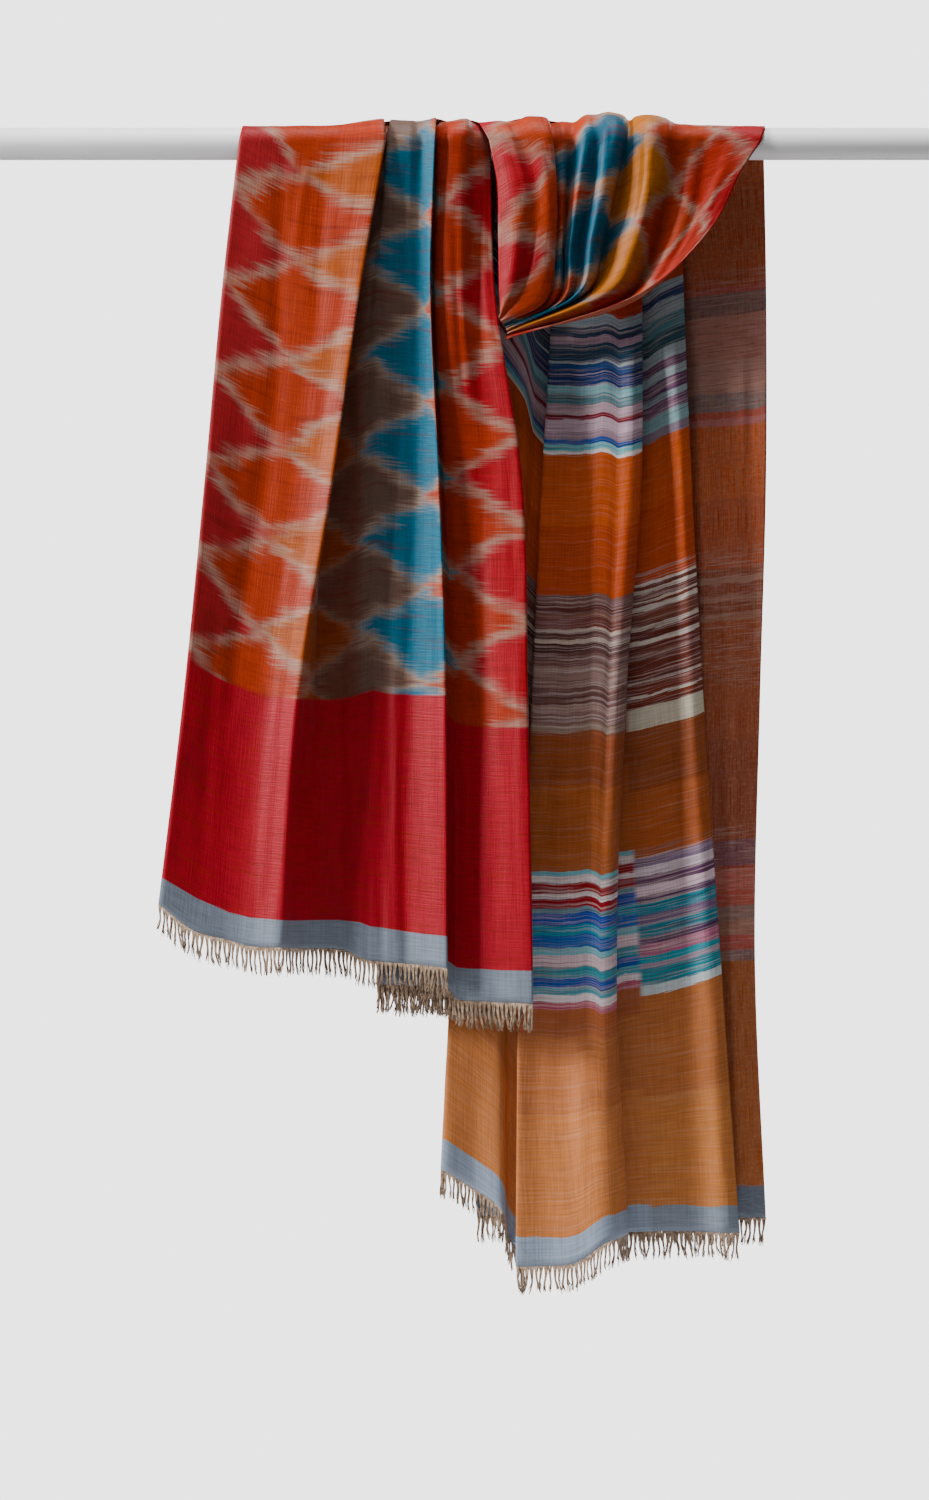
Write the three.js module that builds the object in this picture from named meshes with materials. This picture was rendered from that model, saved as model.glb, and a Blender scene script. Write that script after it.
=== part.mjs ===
// A pashmina shawl hung over a round rail: a pleated front fall, a swag that is gathered across
// the front, its tail tucked behind, and a back fall with its left half folded forward.
// Millimetres. +X runs right along the rail, -Y points to the viewer and +Z is up.
// The origin is on the rail's axis, half way along it.
import * as THREE from "three";

// Driving sizes
const RAIL_DIAMETER = 32;
const RAIL_LENGTH = 1000;
const RAIL_SIDES = 40;
const CLOTH_WALL = 1.4;
const SEAM_GAP = 0.3;
const FRINGE_LENGTH = 24;
const FRINGE_STRIP = 3;
const FRINGE_WALL = 1.2;
const STEEP_GAP = 0.9;
const STRAND_TIP = 1.2;
const STRAND_SPLAY = 1.6;
const STRAND_OUTWARD_SHARE = 0.3;
const STRAND_UNEVENNESS = 2;
const STRANDS = { front: 84, tail: 34, fold: 56, back: 50 };

// How finely the cloth is divided: columns between two fold lines, rows over the rail and rows
// below it.
const COLUMNS_BETWEEN = 2;
const CREST_ROWS = { front: 5, back: 4 };
const FALL_ROWS = { front: 11, swag: 9, tail: 8, fold: 13, back: 8 };

// Turns between one strand and the next, in radians, that keep the strands uneven.
const SPLAY_TURN = 2.4;
const LENGTH_TURN = 1.7;

// Places on the drape are read off a board hung behind it, from the board's top left corner:
// "x" runs right from its left edge, "level" runs down from its top, and "out" is the distance
// that the cloth stands out from the rail's axis towards the viewer.
const BOARD_LEFT = -464.5;
const RAIL_LEVEL = 144;
const RAIL_RADIUS = RAIL_DIAMETER / 2;
const RAIL_CLEARANCE = 1.5;

// Levels at which the fold tables are read, below the level of the rail's axis.
const FRONT_LEVELS = [290, 480, 700];
const TAIL_LEVELS = [352, 600];
const FOLD_LEVELS = [168, 345, 480, 700, 960];
const BACK_LEVELS = [290, 480, 700, 960];

// Front fall, left selvedge to the edge that tucks behind the swag, one row for each fold line.
// Columns: x and lift at the crest, then x and out at the rail, at each front level and at the
// hem, and the hem's own level.
const FRONT_FOLDS = [
  [243, 1.2, 239.5, 18, 223, 20, 206, 24, 184.5, 26, 160, 24, 903],
  [275, 1.2, 272, 18, 258, 19, 240, 19, 219, 20, 195, 19, 930],
  [302, 2, 298, 19, 288, 20, 272, 19, 248, 18, 228, 17, 939],
  [330, 1.8, 327, 20, 316, 25, 298, 24, 270, 22, 249, 20, 945],
  [354, 4.6, 353, 25, 341, 32, 318, 32, 286, 31, 266, 28, 946],
  [384, 8.2, 386, 34, 361, 40, 334, 42, 299, 41, 282, 35, 946],
  [379, 4.6, 378, 26, 353, 26, 329, 26, 308, 26, 294, 24, 947],
  [350, 0.9, 346, 18, 331, 12, 321, 8, 320, 5, 317, 7, 948],
  [374, 0.9, 370, 17.6, 348, 9, 343, 6, 340, 3, 339, 5, 949],
  [390, 1.2, 386, 18, 361, 11, 357, 8.5, 352, 6, 350, 8, 952],
  [391, 4.6, 389, 21, 371, 12, 367, 9.5, 363, 8, 360, 9.5, 957],
  [391, 7.2, 388, 26, 378, 14.5, 377, 12, 373, 10, 370, 11, 960],
  [400, 7.2, 398, 30, 388, 17, 388, 13.5, 384, 11.5, 381, 12.5, 961],
  [412, 6.6, 411, 30, 404, 21, 402, 17.5, 396, 15, 394, 16, 962],
  [420, 6.2, 421, 27, 417, 19.5, 416, 17, 408, 15, 406, 15.5, 963],
  [428, 7.4, 428, 31, 424, 25, 427, 25, 424, 24, 424, 23.5, 964],
  [436, 9.6, 435, 36, 430.5, 33, 439, 35, 446, 37, 447, 36, 967],
  [431, 4.4, 430, 27, 426, 25, 433, 26, 440, 27, 441, 26, 968],
  [416, 0.9, 414, 18, 411, 16, 415, 15, 420, 15, 420, 15, 974],
  [436, 0.9, 434, 17.8, 432, 13, 440, 12.5, 448, 12.5, 450, 13, 990],
  [441, 4.6, 440, 25, 436, 22, 445, 17, 455, 14, 457, 14.5, 998],
  [452, 6.6, 451, 32, 448, 29, 457, 22, 467, 18, 469, 18, 1000],
  [467, 8.6, 465, 31, 463, 29, 472, 25, 481, 24, 483, 24, 1000],
  [474, 3.6, 474, 22, 474, 21, 490, 28, 497, 31, 500, 30, 1001],
  [482, 0.9, 484, 20, 486, 25, 508, 32, 514, 37, 518, 36, 1001],
  [490, 0.9, 490, 19, 494, 25, 521, 34, 527, 40, 532, 39, 1002],
  [487, 0.9, 486, 17.8, 489, 17, 516, 23, 522, 28, 527, 28, 1002],
];

// Swag, from the edge beside the front fall to the right selvedge, one row for each fold line.
// Columns: x and lift at the crest, x and out at the rail, then x, level and out at four places
// down the fold, the last of them at the gathered end.
const SWAG_FOLDS = [
  [478, 4.6, 489, 30, 497, 190, 34, 498, 240, 33, 499, 290, 30, 500, 318, 27],
  [498, 6.2, 506, 36, 515, 190, 42, 516, 240, 42, 509, 290, 37, 499, 320, 28],
  [514, 6.0, 521, 35, 534, 190, 39, 533, 242, 38, 522, 293, 33, 500, 322, 27],
  [528, 11, 539, 38, 548, 190, 41, 547, 244, 39, 535, 298, 34, 501, 324, 28],
  [547, 8.4, 552, 37, 556, 194, 36, 555, 250, 34, 545, 303, 30, 502, 326, 26],
  [549, 4.0, 549, 26, 550, 194, 20, 548, 250, 18, 540, 301, 19, 503, 327, 24],
  [561, 5.6, 563, 29, 562, 198, 29, 560, 252, 28, 552, 303, 26, 504, 328, 25],
  [574, 5.2, 573, 27, 567, 200, 17, 563, 252, 16, 558, 302, 18, 505, 329, 23],
  [585, 12, 585, 36, 576, 200, 36, 570, 250, 33, 564, 300, 29, 505, 330, 25],
  [597, 13, 597, 34, 590, 197, 26, 581, 247, 21, 572, 297, 21, 506, 331, 24],
  [607, 15, 608, 38, 601, 192, 39, 591, 241, 35, 580, 293, 31, 506, 332, 26],
  [623, 12, 621, 36, 612, 190, 33, 600, 241, 29, 587, 291, 26, 507, 333, 24],
  [629, 6.6, 626, 27, 617, 193, 16, 605, 245, 14, 592, 290, 15, 507, 334, 22],
  [636, 11, 634, 33, 632, 190, 31, 621, 238, 28, 602, 287, 26, 507, 335, 24],
  [650, 12.5, 651, 38, 646, 190, 39, 634, 241, 37, 611, 290, 32, 507, 336, 26],
  [664, 9.4, 664, 34, 656, 192, 34, 643, 246, 32, 618, 294, 28, 507, 337, 24],
  [675, 4.2, 675, 26, 670, 192, 20, 655, 248, 17, 627, 298, 17, 507, 338, 23],
  [692, 2.6, 692, 23, 688, 189, 28, 672, 243, 30, 635, 299, 29, 506, 339, 24],
  [716, 2.0, 713, 21, 706, 183, 27, 687, 240, 32, 641, 299, 33, 505, 340, 26],
  [742, 1.5, 736, 20, 724, 175, 27, 701, 234, 34, 645, 296, 36, 506, 341, 26],
  [765, 1.2, 760, 19, 741, 172, 26, 712, 228, 34, 645, 293, 38, 505, 342, 26],
];

// Tail of the swag, folded in three behind the front fall, one row for each fold line.
// Columns: x and out at each tail level, then x, out and level at the hem.
const TAIL_FOLDS = [
  [502, 14, 516, 17, 523, 19, 995],
  [490, 12, 470, 9.6, 450, 10.9, 988],
  [478, 9, 420, 7, 377, 7, 984],
  [480, 4, 424, 2.4, 381, 2, 986],
  [489, 4, 466, 2.2, 446, 2, 990],
  [498, 2.5, 500, 1.4, 504, 1, 993],
  [497, -2.5, 498, -3.4, 502, -4, 993],
  [488, -2.5, 464, -3.6, 446, -4, 990],
  [480, -3, 428, -4.2, 394, -4.4, 988],
];

// Folded half of the back fall, face side to the viewer, selvedge to the fold at its left.
// Columns: x and out at each fold level, then x, out and level at the hem.
const BACK_FOLD_FOLDS = [
  [680, -12, 686, -10, 692, -8, 704, -7, 721, -6, 740, -5, 1233],
  [668, -8, 674, -4, 681, -2, 690, -2, 707, -2, 724, -1, 1233],
  [656, -7, 661, -9, 665, -13, 669, -15, 688, -14, 701, -13, 1233],
  [648, -12, 649, -14, 649, -17, 642, -17.4, 658, -17.4, 668, -17, 1233],
  [634, -17.4, 632, -18.4, 628, -19.4, 614, -19.6, 620, -19.6, 634, -19, 1234],
  [640, -10, 638, -9.6, 636, -9.6, 618, -9.6, 606, -10.4, 618, -10.6, 1234],
  [641, -5, 642, -2, 641, 0, 626, -1, 616, -1, 628, -2, 1234],
  [630, -3, 634, 4, 632, 10, 618, 16, 611, 15, 620, 13, 1236],
  [612, -3, 614, 2, 611, 9, 603, 16, 596, 18, 604, 19, 1242],
  [590, -3, 590, -1, 584, 1, 575, 6, 568, 7, 576, 9, 1262],
  [572, -4, 570, -3, 562, -3, 552, -2, 542, -2, 546, 0, 1266],
  [556, -5, 550, -4, 542, -4, 532, -2.5, 520, -1, 516, -2, 1266],
  [560, -10, 554, -9.6, 547, -9.6, 537, -9.6, 525, -9.4, 524, -9.6, 1261],
  [544, -15, 536, -15, 532, -15, 520, -15, 510, -15.4, 510, -15.6, 1240],
  [530, -10, 524, -9, 524, -9, 508, -9, 501, -9, 500, -5, 1209],
  [514, -9, 507, -8, 500, -8, 482, -8, 477, -8, 474, -10, 1190],
  [498, -12, 489, -11, 478, -11, 462, -11, 452, -11, 441, -6, 1170],
  [500, -17, 491, -17, 480, -18, 464, -19, 454, -20, 444, -21, 1174],
];

// Crest of the back fall, right to left. Columns: x, lift, and how much of the pleat depth the
// fold line has further down.
const BACK_CREST = [
  [765, 1.2, 0],
  [740, 1.5, 0.2],
  [714, 2.4, -0.2],
  [690, 2.0, 0.3],
  [668, 5, -0.5],
  [650, 11, 1],
  [634, 7, -1],
  [606, 13, 1],
  [588, 10, -0.6],
  [574, 5, 0.8],
  [556, 6, -1],
  [528, 10, 0.9],
  [505, 6, -0.7],
  [486, 4, 1],
  [467, 8, -1],
  [450, 6, 0.7],
  [436, 9, -0.9],
  [414, 6, 1],
  [394, 7, -0.8],
  [370, 4, 0.9],
  [345, 3, -1],
  [318, 2, 0.8],
  [292, 1.6, -0.6],
  [266, 1.3, 0.5],
  [243, 1.2, 0],
];
// Edges of the back fall under the rail. Columns: level, x of its right and its left edge, out
// of its middle and the depth of its pleats.
const BACK_EDGES = [
  [RAIL_LEVEL, 765, 243, -20, 2],
  [BACK_LEVELS[0], 768, 318, -25, 5],
  [BACK_LEVELS[1], 768, 372, -28, 7],
  [BACK_LEVELS[2], 762, 424, -30, 8],
  [BACK_LEVELS[3], 757, 460, -31, 8.5],
];
const BACK_HEM = { right: 768, left: 477, out: -32, pleat: 8.5, rightLevel: 1221, leftLevel: 1219 };

const boardPoint = (x, level, out) => new THREE.Vector3(x + BOARD_LEFT, -out, RAIL_LEVEL - level);

// Point at place s along a smooth curve through the points, where s counts points from 0.
function curvePoint(points, s) {
  const curve = new THREE.CatmullRomCurve3(points, false, "centripetal");
  return curve.getPoint(Math.min(s / (points.length - 1), 1));
}

// Quarter turn of a fold line over the rail, from its crest to the height of the rail's axis.
function crestArc(crestX, lift, railX, out, steps, side) {
  const arc = [];
  for (let i = 0; i <= steps; i++) {
    const turn = ((i / steps) * Math.PI) / 2;
    const ease = 1 - Math.cos(turn);
    const x = crestX + (railX - crestX) * ease + BOARD_LEFT;
    const y = -side * SEAM_GAP * 0.5 - (out - side * SEAM_GAP * 0.5) * Math.sin(turn);
    arc.push(new THREE.Vector3(x, y, (RAIL_RADIUS + lift) * Math.cos(turn)));
  }
  return arc;
}

// Evenly spaced points down a fold line's stations, without the first of them.
function fallPoints(stations, steps) {
  const fall = [];
  for (let i = 1; i <= steps; i++) fall.push(curvePoint(stations, (i / steps) * (stations.length - 1)));
  return fall;
}

// Moves a point of the cloth out until the wall round it clears the rail.
function clearOfRail(point) {
  const least = RAIL_RADIUS + RAIL_CLEARANCE;
  const reach = Math.hypot(point.y, point.z);
  if (reach >= least) return point;
  return point.set(point.x, (point.y * least) / reach, (point.z * least) / reach);
}

// Rows of points across the cloth, with extra points between each two fold lines.
function clothGrid(foldLines) {
  const between = COLUMNS_BETWEEN;
  const rows = foldLines[0].length;
  const grid = [];
  for (let row = 0; row < rows; row++) {
    const across = foldLines.map((line) => line[row]);
    const points = [];
    for (let i = 0; i < (across.length - 1) * between; i++) points.push(curvePoint(across, i / between));
    points.push(across[across.length - 1].clone());
    grid.push(points.map(clearOfRail));
  }
  return grid;
}

// Unit normal of the grid at a point, kept level along the crest where two cloths meet.
function gridNormal(grid, row, col, flatRow) {
  const up = grid[Math.max(row - 1, 0)][col];
  const down = grid[Math.min(row + 1, grid.length - 1)][col];
  const left = grid[row][Math.max(col - 1, 0)];
  const right = grid[row][Math.min(col + 1, grid[0].length - 1)];
  const along = new THREE.Vector3().subVectors(down, up);
  const normal = new THREE.Vector3().subVectors(right, left).cross(along);
  if (row === flatRow) normal.y = 0;
  return normal.normalize();
}

// Geometry from points and faces, with the faces turned to point outwards.
function closedGeometry(points, faces) {
  let volume = 0;
  for (const [a, b, c] of faces) volume += points[a].dot(points[b].clone().cross(points[c]));
  const index = faces.flatMap(([a, b, c]) => (volume > 0 ? [a, b, c] : [a, c, b]));
  const geometry = new THREE.BufferGeometry().setFromPoints(points);
  geometry.setIndex(index);
  geometry.computeVertexNormals();
  return geometry;
}

// Closed wall of cloth with its middle on the grid.
function clothWall(grid, thickness, flatRow) {
  const rows = grid.length;
  const cols = grid[0].length;
  const points = [];
  for (const side of [0.5, -0.5])
    for (let r = 0; r < rows; r++)
      for (let c = 0; c < cols; c++)
        points.push(gridNormal(grid, r, c, flatRow).multiplyScalar(side * thickness).add(grid[r][c]));
  const at = (layer, r, c) => layer * rows * cols + r * cols + c;
  const faces = [];
  const quad = (a, b, c, d) => faces.push([a, b, c], [a, c, d]);
  for (let r = 0; r < rows - 1; r++)
    for (let c = 0; c < cols - 1; c++) {
      quad(at(0, r, c), at(0, r, c + 1), at(0, r + 1, c + 1), at(0, r + 1, c));
      quad(at(1, r, c), at(1, r + 1, c), at(1, r + 1, c + 1), at(1, r, c + 1));
    }
  for (let c = 0; c < cols - 1; c++) {
    quad(at(0, 0, c), at(1, 0, c), at(1, 0, c + 1), at(0, 0, c + 1));
    quad(at(0, rows - 1, c), at(0, rows - 1, c + 1), at(1, rows - 1, c + 1), at(1, rows - 1, c));
  }
  for (let r = 0; r < rows - 1; r++) {
    quad(at(0, r, 0), at(0, r + 1, 0), at(1, r + 1, 0), at(1, r, 0));
    quad(at(0, r, cols - 1), at(1, r, cols - 1), at(1, r + 1, cols - 1), at(0, r + 1, cols - 1));
  }
  return closedGeometry(points, faces);
}

// Points at even distances along a row of grid points.
function evenPoints(row, count) {
  const reach = [0];
  for (let i = 1; i < row.length; i++) reach.push(reach[i - 1] + row[i].distanceTo(row[i - 1]));
  const total = reach[reach.length - 1];
  const points = [];
  let i = 1;
  for (let k = 0; k <= count; k++) {
    const want = (total * k) / count;
    while (i < row.length - 1 && reach[i] < want) i++;
    const share = (want - reach[i - 1]) / (reach[i] - reach[i - 1]);
    points.push(row[i - 1].clone().lerp(row[i], Math.min(share, 1)));
  }
  return points;
}

// Fringe below a hem: a narrow strip along the hem with four-sided strands that taper from it.
function fringe(hemRow, strands) {
  const hem = evenPoints(hemRow, strands);
  const runs = hem.map((_, i) =>
    new THREE.Vector3().subVectors(hem[Math.min(i + 1, strands)], hem[Math.max(i - 1, 0)]),
  );
  const outward = runs.map((run) =>
    new THREE.Vector3(run.y, -run.x, 0).normalize().multiplyScalar(FRINGE_WALL / 2),
  );
  const slopes = runs.map((run) => Math.abs(run.z) / Math.hypot(run.x, run.y));
  const gaps = slopes.map((slope, i) => {
    const steepest = Math.max(slope, slopes[Math.max(i - 1, 0)], slopes[Math.min(i + 1, strands)]);
    return SEAM_GAP + STEEP_GAP * steepest;
  });
  const points = [];
  const corner = (i, drop, side) => hem[i].clone().addScaledVector(outward[i], side).setZ(hem[i].z - drop);
  for (let i = 0; i <= strands; i++)
    points.push(
      corner(i, gaps[i], 1),
      corner(i, gaps[i], -1),
      corner(i, gaps[i] + FRINGE_STRIP, -1),
      corner(i, gaps[i] + FRINGE_STRIP, 1),
    );
  const faces = [];
  const quad = (a, b, c, d) => faces.push([a, b, c], [a, c, d]);
  for (let i = 0; i < strands; i++) {
    const here = i * 4;
    const next = here + 4;
    quad(here, next, next + 1, here + 1);
    quad(here + 1, next + 1, next + 2, here + 2);
    quad(here + 3, next + 3, next, here);
    const roots = [here + 3, here + 2, next + 2, next + 3];
    const middle = hem[i].clone().lerp(hem[i + 1], 0.5);
    const swing = STRAND_SPLAY * Math.sin(i * SPLAY_TURN);
    const length = FRINGE_LENGTH + STRAND_UNEVENNESS * Math.sin(i * LENGTH_TURN);
    const tipY = middle.y + STRAND_OUTWARD_SHARE * swing;
    const tip = new THREE.Vector3(middle.x + swing, tipY, middle.z - length);
    const base = points.length;
    for (const root of roots)
      points.push(points[root].clone().setZ(middle.z).sub(middle).setLength(STRAND_TIP / 2).add(tip));
    for (let k = 0; k < 4; k++) quad(roots[k], roots[(k + 1) % 4], base + ((k + 1) % 4), base + k);
    quad(base, base + 1, base + 2, base + 3);
  }
  const last = strands * 4;
  quad(0, 1, 2, 3);
  quad(last, last + 3, last + 2, last + 1);
  return closedGeometry(points, faces);
}

function frontFallGrid() {
  const lines = FRONT_FOLDS.map((row) => {
    const [crestX, lift, railX, railOut] = row;
    const stations = [boardPoint(railX, RAIL_LEVEL, railOut)];
    FRONT_LEVELS.forEach((level, i) => stations.push(boardPoint(row[4 + 2 * i], level, row[5 + 2 * i])));
    const [hemX, hemOut, hemLevel] = row.slice(-3);
    stations.push(boardPoint(hemX, hemLevel, hemOut));
    const arc = crestArc(crestX, lift, railX, railOut, CREST_ROWS.front, 1);
    return [...arc, ...fallPoints(stations, FALL_ROWS.front)];
  });
  return clothGrid(lines);
}

function swagGrid() {
  const lines = SWAG_FOLDS.map((row) => {
    const [crestX, lift, railX, railOut] = row;
    const stations = [boardPoint(railX, RAIL_LEVEL, railOut)];
    for (let i = 4; i < row.length; i += 3) stations.push(boardPoint(row[i], row[i + 1], row[i + 2]));
    const arc = crestArc(crestX, lift, railX, railOut, CREST_ROWS.front, 1);
    return [...arc, ...fallPoints(stations, FALL_ROWS.swag)];
  });
  return clothGrid(lines);
}

function hangingGrid(folds, levels, steps) {
  const lines = folds.map((row) => {
    const stations = levels.map((level, i) => boardPoint(row[2 * i], level, row[2 * i + 1]));
    const [hemX, hemOut, hemLevel] = row.slice(-3);
    stations.push(boardPoint(hemX, hemLevel, hemOut));
    return [stations[0], ...fallPoints(stations, steps)];
  });
  return clothGrid(lines);
}

function backFallGrid() {
  const last = BACK_CREST.length - 1;
  const lines = BACK_CREST.map(([crestX, lift, depth], i) => {
    const share = i / last;
    const stations = BACK_EDGES.map(([level, right, left, out, pleat], k) => {
      const x = k === 0 ? crestX : right + (left - right) * share;
      return boardPoint(x, level, out - pleat * depth);
    });
    const hem = BACK_HEM;
    const hemX = hem.right + (hem.left - hem.right) * share;
    const hemLevel = hem.rightLevel + (hem.leftLevel - hem.rightLevel) * share;
    stations.push(boardPoint(hemX, hemLevel, hem.out - hem.pleat * depth));
    const arc = crestArc(crestX, lift, crestX, -stations[0].y, CREST_ROWS.back, -1);
    return [...arc, ...fallPoints(stations, FALL_ROWS.back)];
  });
  return clothGrid(lines);
}

const finishes = {
  ikat: { color: 0xb8432c, roughness: 0.7, metalness: 0 },
  stripes: { color: 0x9a4a24, roughness: 0.7, metalness: 0 },
  yarn: { color: 0x8a7868, roughness: 0.9, metalness: 0 },
  paint: { color: 0xf0f0f0, roughness: 0.4, metalness: 0 },
};

const shawl = new THREE.Group();
function addPiece(name, geometry, finish) {
  const mesh = new THREE.Mesh(geometry, new THREE.MeshStandardMaterial(finish));
  mesh.name = name;
  shawl.add(mesh);
  return mesh;
}

const railShape = new THREE.CylinderGeometry(RAIL_RADIUS, RAIL_RADIUS, RAIL_LENGTH, RAIL_SIDES);
addPiece("rail", railShape, finishes.paint).rotation.z = Math.PI / 2;

const frontFall = frontFallGrid();
const swag = swagGrid();
const tail = hangingGrid(TAIL_FOLDS, TAIL_LEVELS, FALL_ROWS.tail);
const backFold = hangingGrid(BACK_FOLD_FOLDS, FOLD_LEVELS, FALL_ROWS.fold);
const backFall = backFallGrid();
addPiece("front_fall", clothWall(frontFall, CLOTH_WALL, 0), finishes.ikat);
addPiece("swag", clothWall(swag, CLOTH_WALL, 0), finishes.ikat);
addPiece("front_tail", clothWall(tail, CLOTH_WALL, -1), finishes.ikat);
addPiece("back_fold", clothWall(backFold, CLOTH_WALL, -1), finishes.stripes);
addPiece("back_fall", clothWall(backFall, CLOTH_WALL, 0), finishes.stripes);
addPiece("front_fringe", fringe(frontFall.at(-1), STRANDS.front), finishes.yarn);
addPiece("tail_fringe", fringe(tail.at(-1), STRANDS.tail), finishes.yarn);
addPiece("fold_fringe", fringe(backFold.at(-1), STRANDS.fold), finishes.yarn);
addPiece("back_fringe", fringe(backFall.at(-1), STRANDS.back), finishes.yarn);

export default shawl;
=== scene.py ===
"""A pashmina shawl hung over a white rail, dressed for rendering.

The shawl is one cloth of wool and silk twill, ikat on one half and striped on the other. It is
built in the stretches that show, each a thin shell on the form of its solid in the frame.
"""

from __future__ import annotations

import logging
import math
from dataclasses import dataclass, field
from enum import Enum

import bpy
import numpy as np
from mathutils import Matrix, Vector

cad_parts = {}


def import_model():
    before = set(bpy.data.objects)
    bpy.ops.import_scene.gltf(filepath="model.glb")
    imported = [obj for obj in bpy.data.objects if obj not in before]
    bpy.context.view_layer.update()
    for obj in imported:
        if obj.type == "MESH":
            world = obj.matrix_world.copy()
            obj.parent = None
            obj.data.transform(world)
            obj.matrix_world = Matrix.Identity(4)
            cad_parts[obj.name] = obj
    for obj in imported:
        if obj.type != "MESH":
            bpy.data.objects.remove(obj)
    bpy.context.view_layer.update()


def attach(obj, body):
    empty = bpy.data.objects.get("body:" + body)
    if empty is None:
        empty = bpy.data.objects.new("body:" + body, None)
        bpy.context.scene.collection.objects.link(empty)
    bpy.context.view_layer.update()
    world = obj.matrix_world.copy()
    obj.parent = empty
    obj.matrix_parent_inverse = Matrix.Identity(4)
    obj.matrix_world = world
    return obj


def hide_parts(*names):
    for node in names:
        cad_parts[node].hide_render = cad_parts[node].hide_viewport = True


LOG = logging.getLogger("shawl")

MM = 0.001

# Places on the drape are given on an imagined upright board behind it, in millimetres from its
# top left corner: x to the right, level downwards, out towards the viewer from the rail's axis.
BOARD_LEFT = -464.5
BOARD_WIDTH = 929.0
BOARD_HEIGHT = 1500.0
RAIL_LEVEL = 144.0
RAIL_RADIUS = 16.0
RAIL_LENGTH = 1000.0
RAIL_CLEARANCE = 1.5
SEAM_GAP = 0.3
CLOTH_WIDTH = 1000.0
CLOTH_THICKNESS = 0.9

# Number of ripples down a stretch.
LONG_RIPPLES = 9
SHORT_RIPPLES = 34

# The weave's plan along the warp, in millimetres from the hem.
FRONT_GREY_BAND = 32.0
FRONT_PLAIN_BAND = 262.0
IKAT_COLUMN = CLOTH_WIDTH / 12
IKAT_REPEAT = 92.0
IKAT_FIRST_NODE = 15.0
# Distances from a lattice line, in repeats, over which the pale yarn gives way to the dye,
# how pale a line is at least, and how much paler it can be.
LINE_EDGE = (-0.05, 0.155)
LEAST_PALE = 0.18
PALE_RANGE = 0.62


class Hold(Enum):
    """How a stretch of the cloth is held."""

    DRAPED = "draped"
    GATHERED = "gathered"
    FOLDED = "folded"


# Front fall, left selvedge to the edge that tucks behind the swag, one row for each fold line.
# Columns: x and lift at the crest, then x and out at the rail, at each front level and at the
# hem, and the hem's own level.
FRONT_LEVELS = (290, 480, 700)
FRONT_FOLDS = (
    (243, 1.2, 239.5, 18, 223, 20, 206, 24, 184.5, 26, 160, 24, 903),
    (275, 1.2, 272, 18, 258, 19, 240, 19, 219, 20, 195, 19, 930),
    (302, 2, 298, 19, 288, 20, 272, 19, 248, 18, 228, 17, 939),
    (330, 1.8, 327, 20, 316, 25, 298, 24, 270, 22, 249, 20, 945),
    (354, 4.6, 353, 25, 341, 32, 318, 32, 286, 31, 266, 28, 946),
    (384, 8.2, 386, 34, 361, 40, 334, 42, 299, 41, 282, 35, 946),
    (379, 4.6, 378, 26, 353, 26, 329, 26, 308, 26, 294, 24, 947),
    (350, 0.9, 346, 18, 331, 12, 321, 8, 320, 5, 317, 7, 948),
    (374, 0.9, 370, 17.6, 348, 9, 343, 6, 340, 3, 339, 5, 949),
    (390, 1.2, 386, 18, 361, 11, 357, 8.5, 352, 6, 350, 8, 952),
    (391, 4.6, 389, 21, 371, 12, 367, 9.5, 363, 8, 360, 9.5, 957),
    (391, 7.2, 388, 26, 378, 14.5, 377, 12, 373, 10, 370, 11, 960),
    (400, 7.2, 398, 30, 388, 17, 388, 13.5, 384, 11.5, 381, 12.5, 961),
    (412, 6.6, 411, 30, 404, 21, 402, 17.5, 396, 15, 394, 16, 962),
    (420, 6.2, 421, 27, 417, 19.5, 416, 17, 408, 15, 406, 15.5, 963),
    (428, 7.4, 428, 31, 424, 25, 427, 25, 424, 24, 424, 23.5, 964),
    (436, 9.6, 435, 36, 430.5, 33, 439, 35, 446, 37, 447, 36, 967),
    (431, 4.4, 430, 27, 426, 23, 433, 24, 440, 25, 441, 24, 968),
    (416, 0.9, 414, 18, 411, 13.5, 415, 11.5, 420, 12, 420, 12.5, 974),
    (436, 0.9, 434, 17.8, 432, 13, 440, 12.5, 448, 12.5, 450, 13, 990),
    (441, 4.6, 440, 25, 436, 22, 445, 17, 455, 14, 457, 14.5, 998),
    (452, 6.6, 451, 32, 448, 29, 457, 22, 467, 18, 469, 18, 1000),
    (467, 8.6, 465, 31, 463, 29, 472, 25, 481, 24, 483, 24, 1000),
    (474, 3.6, 474, 22, 474, 21, 490, 28, 497, 31, 500, 30, 1001),
    (482, 0.9, 484, 20, 486, 25, 508, 32, 514, 37, 518, 36, 1001),
    (490, 0.9, 490, 19, 494, 25, 521, 34, 527, 40, 532, 39, 1002),
    (487, 0.9, 486, 17.8, 489, 17, 516, 23, 522, 28, 527, 28, 1002),
)
# The same fold lines on the weave. Columns: place across the cloth, and the levels at which
# the ikat ends and the grey band starts.
FRONT_WEAVE = (
    (0, 661, 877),
    (40, 679, 898),
    (75, 692, 912),
    (105, 698, 917),
    (125, 699, 918),
    (145, 700, 919),
    (158, 700, 920),
    (192, 700, 920),
    (224, 699, 920),
    (246, 697, 921),
    (262, 693, 922),
    (275, 690, 926),
    (288, 692, 927),
    (303, 694, 929),
    (316, 695, 931),
    (333, 696, 933),
    (358, 697, 935),
    (367, 699, 937),
    (379, 703, 944),
    (398, 716, 962),
    (406, 724, 967),
    (424, 725, 968),
    (444, 726, 968),
    (463, 727, 969),
    (478, 727, 969),
    (492, 728, 969),
    (500, 728, 969),
)

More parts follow.
